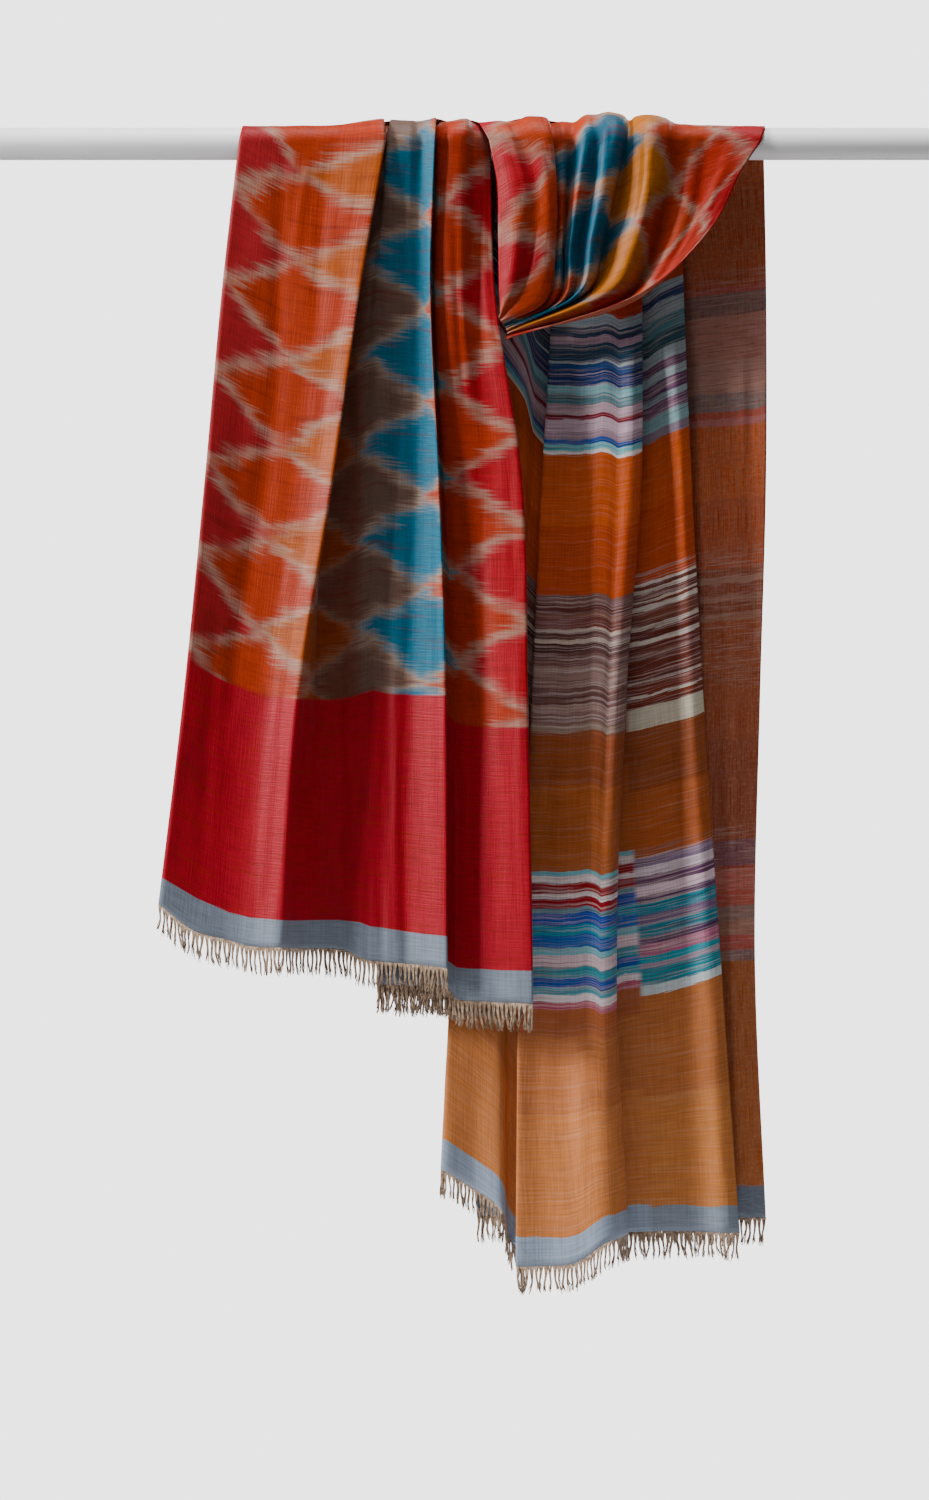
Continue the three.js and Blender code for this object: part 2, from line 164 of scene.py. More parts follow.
# Swag, from the edge beside the front fall to the right selvedge, one row for each fold line.
# Columns: x and lift at the crest, x and out at the rail, then x, level and out at four places
# down the fold, the last of them at the gathered end, and the place across the cloth.
SWAG_FOLDS = (
    (478, 4.6, 489, 30, 497, 190, 34, 498, 240, 33, 499, 290, 30, 500, 318, 27, 500),
    (498, 6.2, 506, 36, 515, 190, 42, 516, 240, 42, 509, 290, 37, 499, 320, 28, 522),
    (514, 6.0, 521, 35, 534, 190, 39, 533, 242, 38, 522, 293, 33, 500, 322, 27, 545),
    (528, 11, 539, 38, 548, 190, 41, 547, 244, 39, 535, 298, 34, 501, 324, 28, 568),
    (547, 8.4, 552, 37, 556, 194, 36, 555, 250, 34, 545, 303, 30, 502, 326, 26, 590),
    (549, 4.0, 549, 26, 550, 194, 20, 548, 250, 18, 540, 301, 19, 503, 327, 24, 600),
    (561, 5.6, 563, 29, 562, 198, 29, 560, 252, 28, 552, 303, 26, 504, 328, 25, 612),
    (574, 5.2, 573, 27, 567, 200, 17, 563, 252, 16, 558, 302, 18, 505, 329, 23, 625),
    (585, 12, 585, 36, 576, 200, 36, 570, 250, 33, 564, 300, 29, 505, 330, 25, 642),
    (597, 13, 597, 34, 590, 197, 26, 581, 247, 21, 572, 297, 21, 506, 331, 24, 657),
    (607, 15, 608, 38, 601, 192, 39, 591, 241, 35, 580, 293, 31, 506, 332, 26, 672),
    (623, 12, 621, 36, 612, 190, 33, 600, 241, 29, 587, 291, 26, 507, 333, 24, 690),
    (629, 6.6, 626, 27, 617, 193, 16, 605, 245, 14, 592, 290, 15, 507, 334, 22, 712),
    (636, 11, 634, 33, 632, 190, 31, 621, 238, 28, 602, 287, 26, 507, 335, 24, 735),
    (650, 12.5, 651, 38, 646, 190, 39, 634, 241, 37, 611, 290, 32, 507, 336, 26, 760),
    (664, 9.4, 664, 34, 656, 192, 34, 643, 246, 32, 618, 294, 28, 507, 337, 24, 785),
    (675, 4.2, 675, 26, 670, 192, 20, 655, 248, 17, 627, 298, 17, 507, 338, 23, 825),
    (692, 2.6, 692, 23, 688, 189, 28, 672, 243, 30, 635, 299, 29, 506, 339, 24, 865),
    (716, 2.0, 713, 21, 706, 183, 27, 687, 240, 32, 641, 299, 33, 505, 340, 26, 910),
    (742, 1.5, 736, 20, 724, 175, 27, 701, 234, 34, 645, 296, 36, 506, 341, 26, 955),
    (765, 1.2, 760, 19, 741, 172, 26, 712, 228, 34, 645, 293, 38, 505, 342, 26, 1000),
)

# Tail of the swag, folded in three behind the front fall, one row for each fold line.
# Columns: x and out at each tail level, then x, out and level at the hem, and the place across.
TAIL_LEVELS = (352, 600)
TAIL_FOLDS = (
    (502, 14, 516, 17, 523, 19, 995, 500),
    (490, 12, 470, 9.6, 450, 10.9, 988, 575),
    (478, 9, 420, 7, 377, 7, 984, 648),
    (480, 4, 424, 2.4, 381, 2, 986, 660),
    (489, 4, 466, 2.2, 446, 2, 990, 725),
    (498, 2.5, 500, 1.4, 504, 1, 993, 784),
    (497, -2.5, 498, -3.4, 502, -4, 993, 796),
    (488, -2.5, 464, -3.6, 446, -4, 990, 852),
    (480, -3, 428, -4.2, 394, -4.4, 988, 904),
)

# Folded half of the back fall, face side to the viewer, selvedge to the fold at its left.
# Columns: x and out at each fold level, then x, out and level at the hem, and the place across.
FOLD_LEVELS = (168, 345, 480, 700, 960)
BACK_FOLD_FOLDS = (
    (680, -12, 686, -10, 692, -8, 704, -7, 721, -6, 740, -5, 1233, 0),
    (668, -8, 674, -4, 681, -2, 690, -2, 707, -2, 724, -1, 1233, 18),
    (656, -7, 661, -9, 665, -13, 669, -15, 688, -14, 701, -13, 1233, 38),
    (648, -12, 649, -14, 649, -17, 642, -17.4, 658, -17.4, 668, -17, 1233, 72),
    (634, -17.4, 632, -18.4, 628, -19.4, 614, -19.6, 620, -19.6, 634, -19, 1234, 106),
    (640, -10, 638, -9.6, 636, -9.6, 618, -9.6, 606, -10.4, 618, -10.6, 1234, 124),
    (641, -5, 642, -2, 641, 0, 626, -1, 616, -1, 628, -2, 1234, 131),
    (630, -3, 634, 4, 632, 10, 618, 16, 611, 15, 620, 13, 1236, 144),
    (612, -3, 614, 2, 611, 9, 603, 16, 596, 18, 604, 19, 1242, 165),
    (590, -3, 590, -1, 584, 1, 575, 6, 568, 7, 576, 9, 1262, 188),
    (572, -4, 570, -3, 562, -3, 552, -2, 542, -2, 546, 0, 1266, 209),
    (556, -5, 550, -4, 542, -4, 532, -2.5, 520, -1, 516, -2, 1266, 230),
    (560, -10, 554, -9.6, 547, -9.6, 537, -9.6, 525, -9.4, 524, -9.6, 1261, 240),
    (544, -15, 536, -15, 532, -15, 520, -15, 510, -15.4, 510, -15.6, 1240, 256),
    (530, -10, 524, -9, 524, -9, 508, -9, 501, -9, 500, -5, 1209, 268),
    (514, -9, 507, -8, 500, -8, 482, -8, 477, -8, 474, -10, 1190, 298),
    (498, -12, 489, -11, 478, -11, 462, -11, 452, -11, 441, -6, 1170, 330),
    (500, -17, 491, -17, 480, -18, 464, -19, 454, -20, 444, -21, 1174, 340),
)

# Crest of the back fall, right to left. Columns: x, lift, and how much of the pleat depth the
# fold line has further down.
BACK_CREST = (
    (765, 1.2, 0),
    (740, 1.5, 0.2),
    (714, 2.4, -0.2),
    (690, 2.0, 0.3),
    (668, 5, -0.5),
    (650, 11, 1),
    (634, 7, -1),
    (606, 13, 1),
    (588, 10, -0.6),
    (574, 5, 0.8),
    (556, 6, -1),
    (528, 10, 0.9),
    (505, 6, -0.7),
    (486, 4, 1),
    (467, 8, -1),
    (450, 6, 0.7),
    (436, 9, -0.9),
    (414, 6, 1),
    (394, 7, -0.8),
    (370, 4, 0.9),
    (345, 3, -1),
    (318, 2, 0.8),
    (292, 1.6, -0.6),
    (266, 1.3, 0.5),
    (243, 1.2, 0),
)
# Edges of the back fall. Columns: level at the right and at the left edge, x of the right and
# of the left edge, out of its middle and the depth of its pleats.
BACK_EDGES = (
    (144, 144, 765, 243, -20, 2),
    (290, 290, 768, 318, -25, 5),
    (480, 480, 768, 372, -28, 7),
    (700, 700, 762, 424, -30, 8),
    (960, 960, 757, 460, -31, 8.5),
    (1221, 1219, 768, 477, -32, 8.5),
)


def board_point(x: float, level: float, out: float) -> tuple[float, float, float]:
    """Turns a place on the board into the part's frame.

    Args:
        x: Distance right from the board's left edge, in millimetres.
        level: Distance down from the board's top, in millimetres.
        out: Distance from the rail's axis towards the viewer, in millimetres.

    Returns:
        The place in the part's frame, in millimetres.
    """
    return (x + BOARD_LEFT, -out, RAIL_LEVEL - level)


def curve_points(points: np.ndarray, places: np.ndarray) -> np.ndarray:
    """Samples a smooth centripetal curve through points.

    Args:
        points: The points that the curve passes through, one a row.
        places: Where to sample it, counting the points from 0.

    Returns:
        One sample a row.
    """
    ends = np.vstack((2 * points[0] - points[1], points, 2 * points[-1] - points[-2]))
    index = np.clip(places.astype(int), 0, len(points) - 2)
    share = (places - index)[:, None]
    before, start, end, after = (ends[index + k] for k in range(4))
    middle = np.maximum(np.linalg.norm(end - start, axis=1) ** 0.5, 1e-4)[:, None]
    first = np.linalg.norm(start - before, axis=1)[:, None] ** 0.5
    last = np.linalg.norm(after - end, axis=1)[:, None] ** 0.5
    first = np.where(first < 1e-4, middle, first)
    last = np.where(last < 1e-4, middle, last)
    chord = (end - start) / middle
    leave = ((start - before) / first - (end - before) / (first + middle) + chord) * middle
    arrive = (chord - (after - start) / (middle + last) + (after - end) / last) * middle
    cubic = 2 * start - 2 * end + leave + arrive
    square = 3 * end - 3 * start - 2 * leave - arrive
    return start + leave * share + square * share**2 + cubic * share**3


def crest_arc(x: float, lift: float, rail_x: float, out: float, steps: int, side: int) -> np.ndarray:
    """Runs a fold line over the rail, from its crest to the height of the rail's axis.

    Args:
        x: Place of the crest on the board.
        lift: Height of the cloth's middle above the rail.
        rail_x: Place on the board at the height of the rail's axis.
        out: Distance out at the height of the rail's axis.
        steps: Number of steps.
        side: 1 in front of the rail and -1 behind it.

    Returns:
        The points, one a row, in millimetres.
    """
    turn = np.linspace(0, math.pi / 2, steps + 1)
    across = x + (rail_x - x) * (1 - np.cos(turn)) + BOARD_LEFT
    seam = side * SEAM_GAP / 2
    outward = -seam - (out - seam) * np.sin(turn)
    return np.column_stack((across, outward, (RAIL_RADIUS + lift) * np.cos(turn)))


def smooth_noise(size: tuple[int, int], cells: tuple[int, int], seed: int) -> np.ndarray:
    """Makes a smooth random field between about -1 and 1.

    Args:
        size: Rows and columns of the field.
        cells: Number of random cells along the rows and the columns.
        seed: Seed of the random numbers.

    Returns:
        The field, rows by columns.
    """
    random = np.random.default_rng(seed)
    knots = random.uniform(-1, 1, (cells[0] + 1, cells[1] + 1))
    down = curve_points(knots, np.linspace(0, cells[0], size[0]))
    return curve_points(down.T, np.linspace(0, cells[1], size[1])).T


@dataclass
class ClothSheet:
    """A sheet of cloth as rows of points from the crest to the hem.

    Attributes:
        points: Rows by columns by three, in millimetres.
        across: Place of each point across the cloth, from its left selvedge.
        warp: Place of each point along the warp, from the hem.
    """

    points: np.ndarray
    across: np.ndarray
    warp: np.ndarray

    def normals(self) -> np.ndarray:
        """Works out unit normals.

        Returns:
            One normal a point, away from a viewer who sees the columns run left to right.
        """
        down = np.gradient(self.points, axis=0)
        right = np.gradient(self.points, axis=1)
        normal = np.cross(right, down)
        return normal / np.maximum(np.linalg.norm(normal, axis=2, keepdims=True), 1e-9)

    def area(self) -> float:
        """Measures the sheet.

        Returns:
            Its area, in square metres.
        """
        down = np.diff(self.points, axis=0)[:, :-1]
        right = np.diff(self.points, axis=1)[:-1]
        return float(np.linalg.norm(np.cross(right, down), axis=2).sum()) * MM * MM


@dataclass
class Crease:
    """A soft crease pressed into the cloth.

    Attributes:
        across: Place across the cloth at its upper end.
        lean: Change of that place down to its lower end.
        top: Warp place of its upper end.
        bottom: Warp place of its lower end.
        width: Half width, in millimetres.
        depth: Depth, in millimetres, below the face; negative for a ridge.
    """

    across: float
    lean: float
    top: float
    bottom: float
    width: float
    depth: float

    def push(self, sheet: ClothSheet) -> np.ndarray:
        """Works out how far the crease moves each point of a sheet.

        Args:
            sheet: The sheet that it is pressed into.

        Returns:
            The moves out of the face, in millimetres, rows by columns.
        """
        span = max(self.top - self.bottom, 1.0)
        run = np.clip((self.top - sheet.warp) / span, 0, 1)
        line = self.across + self.lean * run
        inside = (sheet.warp < self.top) & (sheet.warp > self.bottom)
        fade = np.sin(run * math.pi) ** 0.7 * inside
        return -self.depth * fade * np.exp(-(((sheet.across - line) / self.width) ** 2))


# Main creases of each stretch, read off the cloth where it shows and alike where it doesn't.
FRONT_CREASES = (
    Crease(across=58, lean=12, top=800, bottom=540, width=8, depth=1.5),
    Crease(across=88, lean=-8, top=806, bottom=690, width=5, depth=-1.3),
    Crease(across=104, lean=5, top=802, bottom=610, width=6, depth=1.6),
    Crease(across=128, lean=-4, top=806, bottom=720, width=4, depth=-1.0),
    Crease(across=74, lean=-26, top=600, bottom=190, width=11, depth=1.7),
    Crease(across=112, lean=6, top=440, bottom=60, width=9, depth=-1.5),
    Crease(across=28, lean=14, top=330, bottom=20, width=8, depth=1.3),
    Crease(across=345, lean=3, top=650, bottom=110, width=3.2, depth=1.3),
    Crease(across=300, lean=-6, top=790, bottom=640, width=5, depth=1.4),
    Crease(across=290, lean=10, top=420, bottom=60, width=6, depth=1.2),
    Crease(across=432, lean=8, top=780, bottom=560, width=5, depth=1.6),
    Crease(across=452, lean=-6, top=540, bottom=180, width=7, depth=1.5),
    Crease(across=480, lean=4, top=400, bottom=40, width=5, depth=-1.2),
)
SWAG_CREASES = (
    Crease(across=549, lean=-5, top=728, bottom=648, width=2.4, depth=1.5),
    Crease(across=530, lean=4, top=850, bottom=740, width=3.5, depth=-1.0),
    Crease(across=604, lean=4, top=800, bottom=680, width=3, depth=1.1),
    Crease(across=668, lean=-4, top=800, bottom=690, width=4, depth=-1.0),
    Crease(across=748, lean=4, top=790, bottom=690, width=4, depth=1.3),
    Crease(across=890, lean=10, top=790, bottom=640, width=16, depth=1.6),
    Crease(across=945, lean=-6, top=770, bottom=690, width=14, depth=-0.9),
)
TAIL_CREASES = (
    Crease(across=560, lean=8, top=560, bottom=60, width=7, depth=0.5),
    Crease(across=870, lean=-8, top=520, bottom=90, width=7, depth=0.5),
)
FOLD_CREASES = (
    Crease(across=158, lean=3, top=960, bottom=330, width=6, depth=2.6),
    Crease(across=174, lean=3, top=930, bottom=420, width=6, depth=-1.6),
    Crease(across=212, lean=-8, top=820, bottom=500, width=8, depth=1.4),
    Crease(across=20, lean=5, top=850, bottom=260, width=6, depth=1.3),
    Crease(across=286, lean=-8, top=740, bottom=220, width=7, depth=1.5),
    Crease(across=312, lean=6, top=520, bottom=50, width=6, depth=1.2),
    Crease(across=202, lean=-16, top=430, bottom=30, width=9, depth=1.7),
    Crease(across=176, lean=8, top=300, bottom=20, width=6, depth=-1.4),
)
BACK_CREASES = (
    Crease(across=950, lean=-12, top=1050, bottom=700, width=12, depth=1.6),
    Crease(across=886, lean=14, top=900, bottom=420, width=14, depth=1.9),
    Crease(across=934, lean=-16, top=540, bottom=50, width=12, depth=1.7),
    Crease(across=842, lean=10, top=470, bottom=110, width=10, depth=1.4),
    Crease(across=640, lean=14, top=1000, bottom=480, width=14, depth=2.0),
    Crease(across=486, lean=-18, top=900, bottom=300, width=16, depth=2.2),
    Crease(across=330, lean=12, top=760, bottom=110, width=14, depth=1.9),
    Crease(across=178, lean=-12, top=980, bottom=420, width=12, depth=1.7),
    Crease(across=92, lean=8, top=540, bottom=40, width=12, depth=1.5),
)
# How far the weft stands above the level. Columns: place across the cloth and height.
FOLD_WEFT_RISE = (
    (0, 10),
    (38, -1),
    (72, -9),
    (106, -14),
    (131, -29),
    (146, -31),
    (160, -30),
    (174, -14),
    (188, -4),
    (209, 0),
    (230, 1),
    (256, -2),
    (298, 8),
    (340, 12),
)
BACK_WEFT_RISE = (
    (690, -9),
    (1000, 9),
)


@dataclass
class ClothStretch:
    """One stretch of the shawl.

    Attributes:
        node: Name of the solid that it replaces.
        cut: Flat width and length of the stretch, in metres; not used.
        hold: How it is held; not used.
        between: Number of columns between two fold lines.
        steps: Number of rows below the rail.
        flip: Whether the face side looks to the side that its normals point to.
        creases: Creases pressed into it.
        rests_on: Pieces that it rests on; not used.
        weft_rise: Pairs of a place across the cloth and how far its weft stands above the level.
        hem_tie: Warp place above which the weft stands so; it comes level down to the hem.
        ripple: Height of the ripples, in millimetres.
        crest_steps: Number of rows over the rail.
    """

    node: str
    cut: tuple[float, float]
    hold: Hold
    between: int
    steps: int
    flip: bool = False
    creases: tuple[Crease, ...] = ()
    rests_on: tuple[str, ...] = ("rail",)
    weft_rise: tuple[tuple[float, float], ...] = ((0, 0), (1000, 0))
    hem_tie: float = 220.0
    ripple: float = 0.35
    crest_steps: int = 14
    sheet: ClothSheet = field(init=False)

    def fold_lines(self) -> list[np.ndarray]:
        """Gives each fold line's points from top to hem.

        Returns:
            The points of each fold line, in millimetres.
        """
        raise NotImplementedError

    def weave(self, points: np.ndarray, place: np.ndarray) -> tuple[np.ndarray, np.ndarray]:
        """Gives each point's place in the weave.

        Args:
            points: The sheet's points, rows by columns by three, in millimetres.
            place: Place of each column, counting the fold lines from 0.

        Returns:
            The places across the cloth and along its warp, in millimetres.
        """
        raise NotImplementedError

    def tipped(self, across: np.ndarray, warp: np.ndarray) -> np.ndarray:
        """Tips the weft lines as the table of their rise says.

        Args:
            across: Place of each column across the cloth.
            warp: Place of each point along the warp, as if each weft line hung level.

        Returns:
            The warp places under tipped weft lines.
        """
        rise = np.interp(across, *zip(*self.weft_rise))
        return warp - rise * np.clip(warp / self.hem_tie, 0, 1)

    def over_rail(self, row: tuple[float, ...], stations: list, side: int = 1) -> np.ndarray:
        """Joins the arc over the rail to the fall below it.

        Args:
            row: The fold line's table row, which starts with its crest.
            stations: Points of the fall, the first at the height of the rail's axis.
            side: 1 in front of the rail and -1 behind it.

        Returns:
            The fold line's points, one a row.
        """
        arc = crest_arc(*row[:4], self.crest_steps, side)
        places = np.linspace(0, len(stations) - 1, self.steps + 1)[1:]
        return np.vstack((arc, curve_points(np.array(stations, float), places)))

    def hanging(self, stations: list) -> np.ndarray:
        """Samples a fold line that starts below the rail."""
        places = np.linspace(0, len(stations) - 1, self.steps + 1)
        return curve_points(np.array(stations, float), places)

    def make_sheet(self) -> ClothSheet:
        """Builds the sheet through the fold lines, with its creases and ripples.

        Returns:
            The sheet.
        """
        lines = np.array(self.fold_lines())
        folds = len(lines)
        place = np.linspace(0, folds - 1, (folds - 1) * self.between + 1)
        points = np.array([curve_points(lines[:, row], place) for row in range(lines.shape[1])])
        reach = np.hypot(points[..., 1], points[..., 2])
        least = RAIL_RADIUS + RAIL_CLEARANCE
        scale = np.where(reach < least, least / np.maximum(reach, 1e-6), 1.0)
        points[..., 1:] *= scale[..., None]
        across, warp = self.weave(points, place)
        sheet = ClothSheet(points, across, warp)
        size = points.shape[:2]
        push = self.ripple * smooth_noise(size, (LONG_RIPPLES, folds * 2), len(self.node))
        push += self.ripple / 2 * smooth_noise(size, (SHORT_RIPPLES, folds * 3), folds)
        push[:2] = 0
        for crease in self.creases:
            push += crease.push(sheet)
        face = 1 if self.flip else -1
        sheet.points = points + face * sheet.normals() * push[..., None]
        return sheet

    def make_piece(self, name: str, finishes: tuple) -> bpy.types.Object:
        """Makes the stretch's mesh.

        Args:
            name: Name of the piece.
            finishes: Materials of the face side and of the reverse.

        Returns:
            The piece, riding on the part's body and standing for its solid.
        """
        self.sheet = self.make_sheet()
        rows, cols = self.sheet.points.shape[:2]
        index = np.arange(rows * cols).reshape(rows, cols)
        corners = (index[:-1, :-1], index[:-1, 1:], index[1:, 1:], index[1:, :-1])
        faces = np.stack(corners, axis=-1).reshape(-1, 4)
        if not self.flip:
            faces = faces[:, ::-1]
        mesh = bpy.data.meshes.new(name)
        mesh.from_pydata((self.sheet.points.reshape(-1, 3) * MM).tolist(), [], faces.tolist())
        layer = mesh.uv_layers.new(name="weave")
        loops = np.empty(len(mesh.loops), int)
        mesh.loops.foreach_get("vertex_index", loops)
        plan = np.column_stack((self.sheet.across.ravel(), self.sheet.warp.ravel())) * MM
        layer.data.foreach_set("uv", plan[loops].ravel())
        mesh.polygons.foreach_set("use_smooth", np.ones(len(mesh.polygons), bool))
        for finish in finishes:
            mesh.materials.append(finish)
        piece = bpy.data.objects.new(name, mesh)
        bpy.context.scene.collection.objects.link(piece)
        shell = piece.modifiers.new("thickness", "SOLIDIFY")
        shell.thickness = CLOTH_THICKNESS * MM
        shell.offset = 0
        shell.material_offset = 1
        LOG.info("%s: %d faces, %.3f square metres", name, len(faces), self.sheet.area())
        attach(piece, "root")
        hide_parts(self.node)
        return piece


@dataclass
class FrontFall(ClothStretch):
    """The pleated fall in front of the rail, from the left selvedge to the swag.

    Attributes:
        crest_run: Warp length of the rows over the rail, in millimetres.
    """

    crest_run: float = 30.0

    def fold_lines(self) -> list[np.ndarray]:
        """Gives each fold line's points from the crest to the hem.

        Returns:
            The points of each fold line, in millimetres.
        """
        lines = []
        for row in FRONT_FOLDS:
            stations = [board_point(row[2], RAIL_LEVEL, row[3])]
            for k, level in enumerate(FRONT_LEVELS):
                stations.append(board_point(row[4 + 2 * k], level, row[5 + 2 * k]))
            stations.append(board_point(row[10], row[12], row[11]))
            lines.append(self.over_rail(row, stations))
        return lines

    def weave(self, points: np.ndarray, place: np.ndarray) -> tuple[np.ndarray, np.ndarray]:
        """Gives each point's place in the weave.

        Args:
            points: The sheet's points, rows by columns by three, in millimetres.
            place: Place of each column, counting the fold lines from 0.

        Returns:
            The places across the cloth and along its warp, in millimetres.
        """
        table = np.array(FRONT_WEAVE, float)
        across, ikat_end, grey_start = (
            np.interp(place, np.arange(len(table)), table[:, k]) for k in range(3)
        )
        level = RAIL_LEVEL - points[..., 2]
        over = np.linspace(self.crest_run, 0, self.crest_steps)
        level[: self.crest_steps] = RAIL_LEVEL - over[:, None]
        hem = level[-1]
        ikat = FRONT_PLAIN_BAND + ikat_end - level
        plain_share = (grey_start - level) / (grey_start - ikat_end)
        plain = FRONT_GREY_BAND + plain_share * (FRONT_PLAIN_BAND - FRONT_GREY_BAND)
        grey = FRONT_GREY_BAND * (hem - level) / np.maximum(hem - grey_start, 1)
        warp = np.where(level < ikat_end, ikat, np.where(level < grey_start, plain, grey))
        return np.broadcast_to(across, warp.shape), warp


@dataclass
class Swag(ClothStretch):
    """The right half of the front, gathered across it.

    Attributes:
        left_crest: Warp place of the crest at the swag's left end, in millimetres.
        right_crest: Warp place of the crest at the right selvedge, in millimetres.
    """

    left_crest: float = 607.0 + FRONT_PLAIN_BAND
    right_crest: float = 525.0 + FRONT_PLAIN_BAND

    def fold_lines(self) -> list[np.ndarray]:
        """Gives each fold line's points from the crest to the gathered end.

        Returns:
            The points of each fold line, in millimetres.
        """
        lines = []
        for row in SWAG_FOLDS:
            stations = [board_point(row[2], RAIL_LEVEL, row[3])]
            stations += [board_point(*row[k : k + 3]) for k in range(4, 16, 3)]
            lines.append(self.over_rail(row, stations))
        return lines

    def weave(self, points: np.ndarray, place: np.ndarray) -> tuple[np.ndarray, np.ndarray]:
        """Gives each point's place in the weave.

        Args:
            points: The sheet's points, rows by columns by three, in millimetres.
            place: Place of each column, counting the fold lines from 0.

        Returns:
            The places across the cloth and along its warp, in millimetres.
        """
        across = np.interp(place, np.arange(len(SWAG_FOLDS)), [row[-1] for row in SWAG_FOLDS])
        step = np.linalg.norm(np.diff(points, axis=0), axis=2)
        run = np.vstack((np.zeros(len(place)), np.cumsum(step, axis=0)))
        crest = np.interp(across, (500, CLOTH_WIDTH), (self.left_crest, self.right_crest))
        return np.broadcast_to(across, run.shape), crest - run


@dataclass
class HangingStretch(ClothStretch):
    """A stretch that hangs from below the rail.

    Attributes:
        folds: Its fold table.
        levels: Levels at which the table is read.
    """

    folds: tuple = ()
    levels: tuple = ()

    def fold_lines(self) -> list[np.ndarray]:
        """Gives each fold line's points from its top to the hem.

        Returns:
            The points of each fold line, in millimetres.
        """
        lines = []
        for row in self.folds:
            stations = [
                board_point(row[2 * k], level, row[2 * k + 1]) for k, level in enumerate(self.levels)
            ]
            hem = 2 * len(self.levels)
            stations.append(board_point(row[hem], row[hem + 2], row[hem + 1]))
            lines.append(self.hanging(stations))
        return lines

    def weave(self, points: np.ndarray, place: np.ndarray) -> tuple[np.ndarray, np.ndarray]:
        """Gives each point's place in the weave.

        Args:
            points: The sheet's points, rows by columns by three, in millimetres.
            place: Place of each column, counting the fold lines from 0.

        Returns:
            The places across the cloth and along its warp, in millimetres.
        """
        across = np.interp(place, np.arange(len(self.folds)), [row[-1] for row in self.folds])
        warp = points[..., 2] - points[-1:, :, 2]
        return np.broadcast_to(across, warp.shape), self.tipped(across, warp)


@dataclass
class BackFall(ClothStretch):
    """The fall behind the rail, whose reverse looks at the viewer."""

    def fold_lines(self) -> list[np.ndarray]:
        """Gives each fold line's points from the crest to the hem.

        Returns:
            The points of each fold line, in millimetres.
        """
        lines = []
        for k, (crest_x, lift, depth) in enumerate(BACK_CREST):
            share = k / (len(BACK_CREST) - 1)
            stations = []
            for right_level, left_level, right, left, out, pleat in BACK_EDGES:
                x = right + (left - right) * share if stations else crest_x
                level = right_level + (left_level - right_level) * share
                stations.append(board_point(x, level, out - pleat * depth))
            lines.append(self.over_rail((crest_x, lift, crest_x, -stations[0][1]), stations, -1))
        return lines

    def weave(self, points: np.ndarray, place: np.ndarray) -> tuple[np.ndarray, np.ndarray]:
        """Gives each point's place in the weave.

        Args:
            points: The sheet's points, rows by columns by three, in millimetres.
            place: Place of each column, counting the fold lines from 0.

        Returns:
            The places across the cloth and along its warp, in millimetres.
        """
        across = CLOTH_WIDTH * (1 - place / place[-1])
        warp = points[..., 2] - points[-1:, :, 2]
        return np.broadcast_to(across, warp.shape), self.tipped(across, warp)


def linear_colour(code: str) -> tuple[float, float, float, float]:
    """Turns an sRGB hex code into a linear colour.

    Args:
        code: Six hex digits after a hash.

    Returns:
        Red, green, blue and alpha.
    """
    parts = [int(code[k : k + 2], 16) / 255 for k in (1, 3, 5)]
    linear = [p / 12.92 if p <= 0.04045 else ((p + 0.055) / 1.055) ** 2.4 for p in parts]
    return (*linear, 1.0)


# The yarn's own colour against the charts: the ikat is charted where the light is fullest and
# the stripes in half light.
YARN_TONE = 0.45
STRIPE_TONE = 0.95
YARN_PURITY = 1.25
# Lightness of the cloth where its threads are darkest, and how much lighter the slubs of the
# weft and of the warp make it.
DARKEST_SLUB = 0.72
WEFT_SLUBS = 0.34
WARP_SLUBS = 0.26


def yarn_colour(code: str, tone: float = YARN_TONE) -> tuple[float, float, float, float]:
    """Turns a colour charted on the hanging cloth into the dyed yarn's own, purer colour.

    Args:
        code: Six hex digits after a hash.
        tone: The yarn's lightness against the chart's.

    Returns:
        Red, green, blue and alpha, linear.
    """
    red, green, blue, _ = linear_colour(code)
    grey = (red + green + blue) / 3
    parts = [max(grey + (part - grey) * YARN_PURITY, 0.0) * tone for part in (red, green, blue)]
    return (*parts, 1.0)


class Finish:
    """A material under construction."""

    def __init__(self, name: str) -> None:
        """Starts a material that holds only its output and its surface shader.

        Args:
            name: The material's name.
        """
        self.material = bpy.data.materials.new(name)
        self.material.use_nodes = True
        self.tree = self.material.node_tree
        self.tree.nodes.clear()
        self.surface = self.add("ShaderNodeBsdfPrincipled", {})
        self.add("ShaderNodeOutputMaterial", {"Surface": self.surface.outputs[0]})

    def add(self, kind: str, inputs: dict, **settings: object) -> bpy.types.Node:
        """Adds a node.

        Args:
            kind: Blender's name for the node's type.
            inputs: A value or an output socket for each input socket.
            settings: The node's own settings.

        Returns:
            The node.
        """
        node = self.tree.nodes.new(kind)
        for name, value in settings.items():
            setattr(node, name, value)
        for key, value in inputs.items():
            if isinstance(value, bpy.types.NodeSocket):
                self.tree.links.new(value, node.inputs[key])
            else:
                node.inputs[key].default_value = value
        return node

    def fill_ramp(self, node: bpy.types.Node, stops: list, interpolation: str) -> None:
        """Sets the stops of a colour ramp.

        Args:
            node: The ramp.
            stops: Pairs of a position and a linear colour.
            interpolation: Blender's name for how it goes from stop to stop.
        """
        ramp = node.color_ramp
        ramp.interpolation = interpolation
        while len(ramp.elements) > 1:
            ramp.elements.remove(ramp.elements[-1])
        ramp.elements[0].position = stops[0][0]
        ramp.elements[0].color = stops[0][1]
        for position, colour in stops[1:]:
            ramp.elements.new(position).color = colour


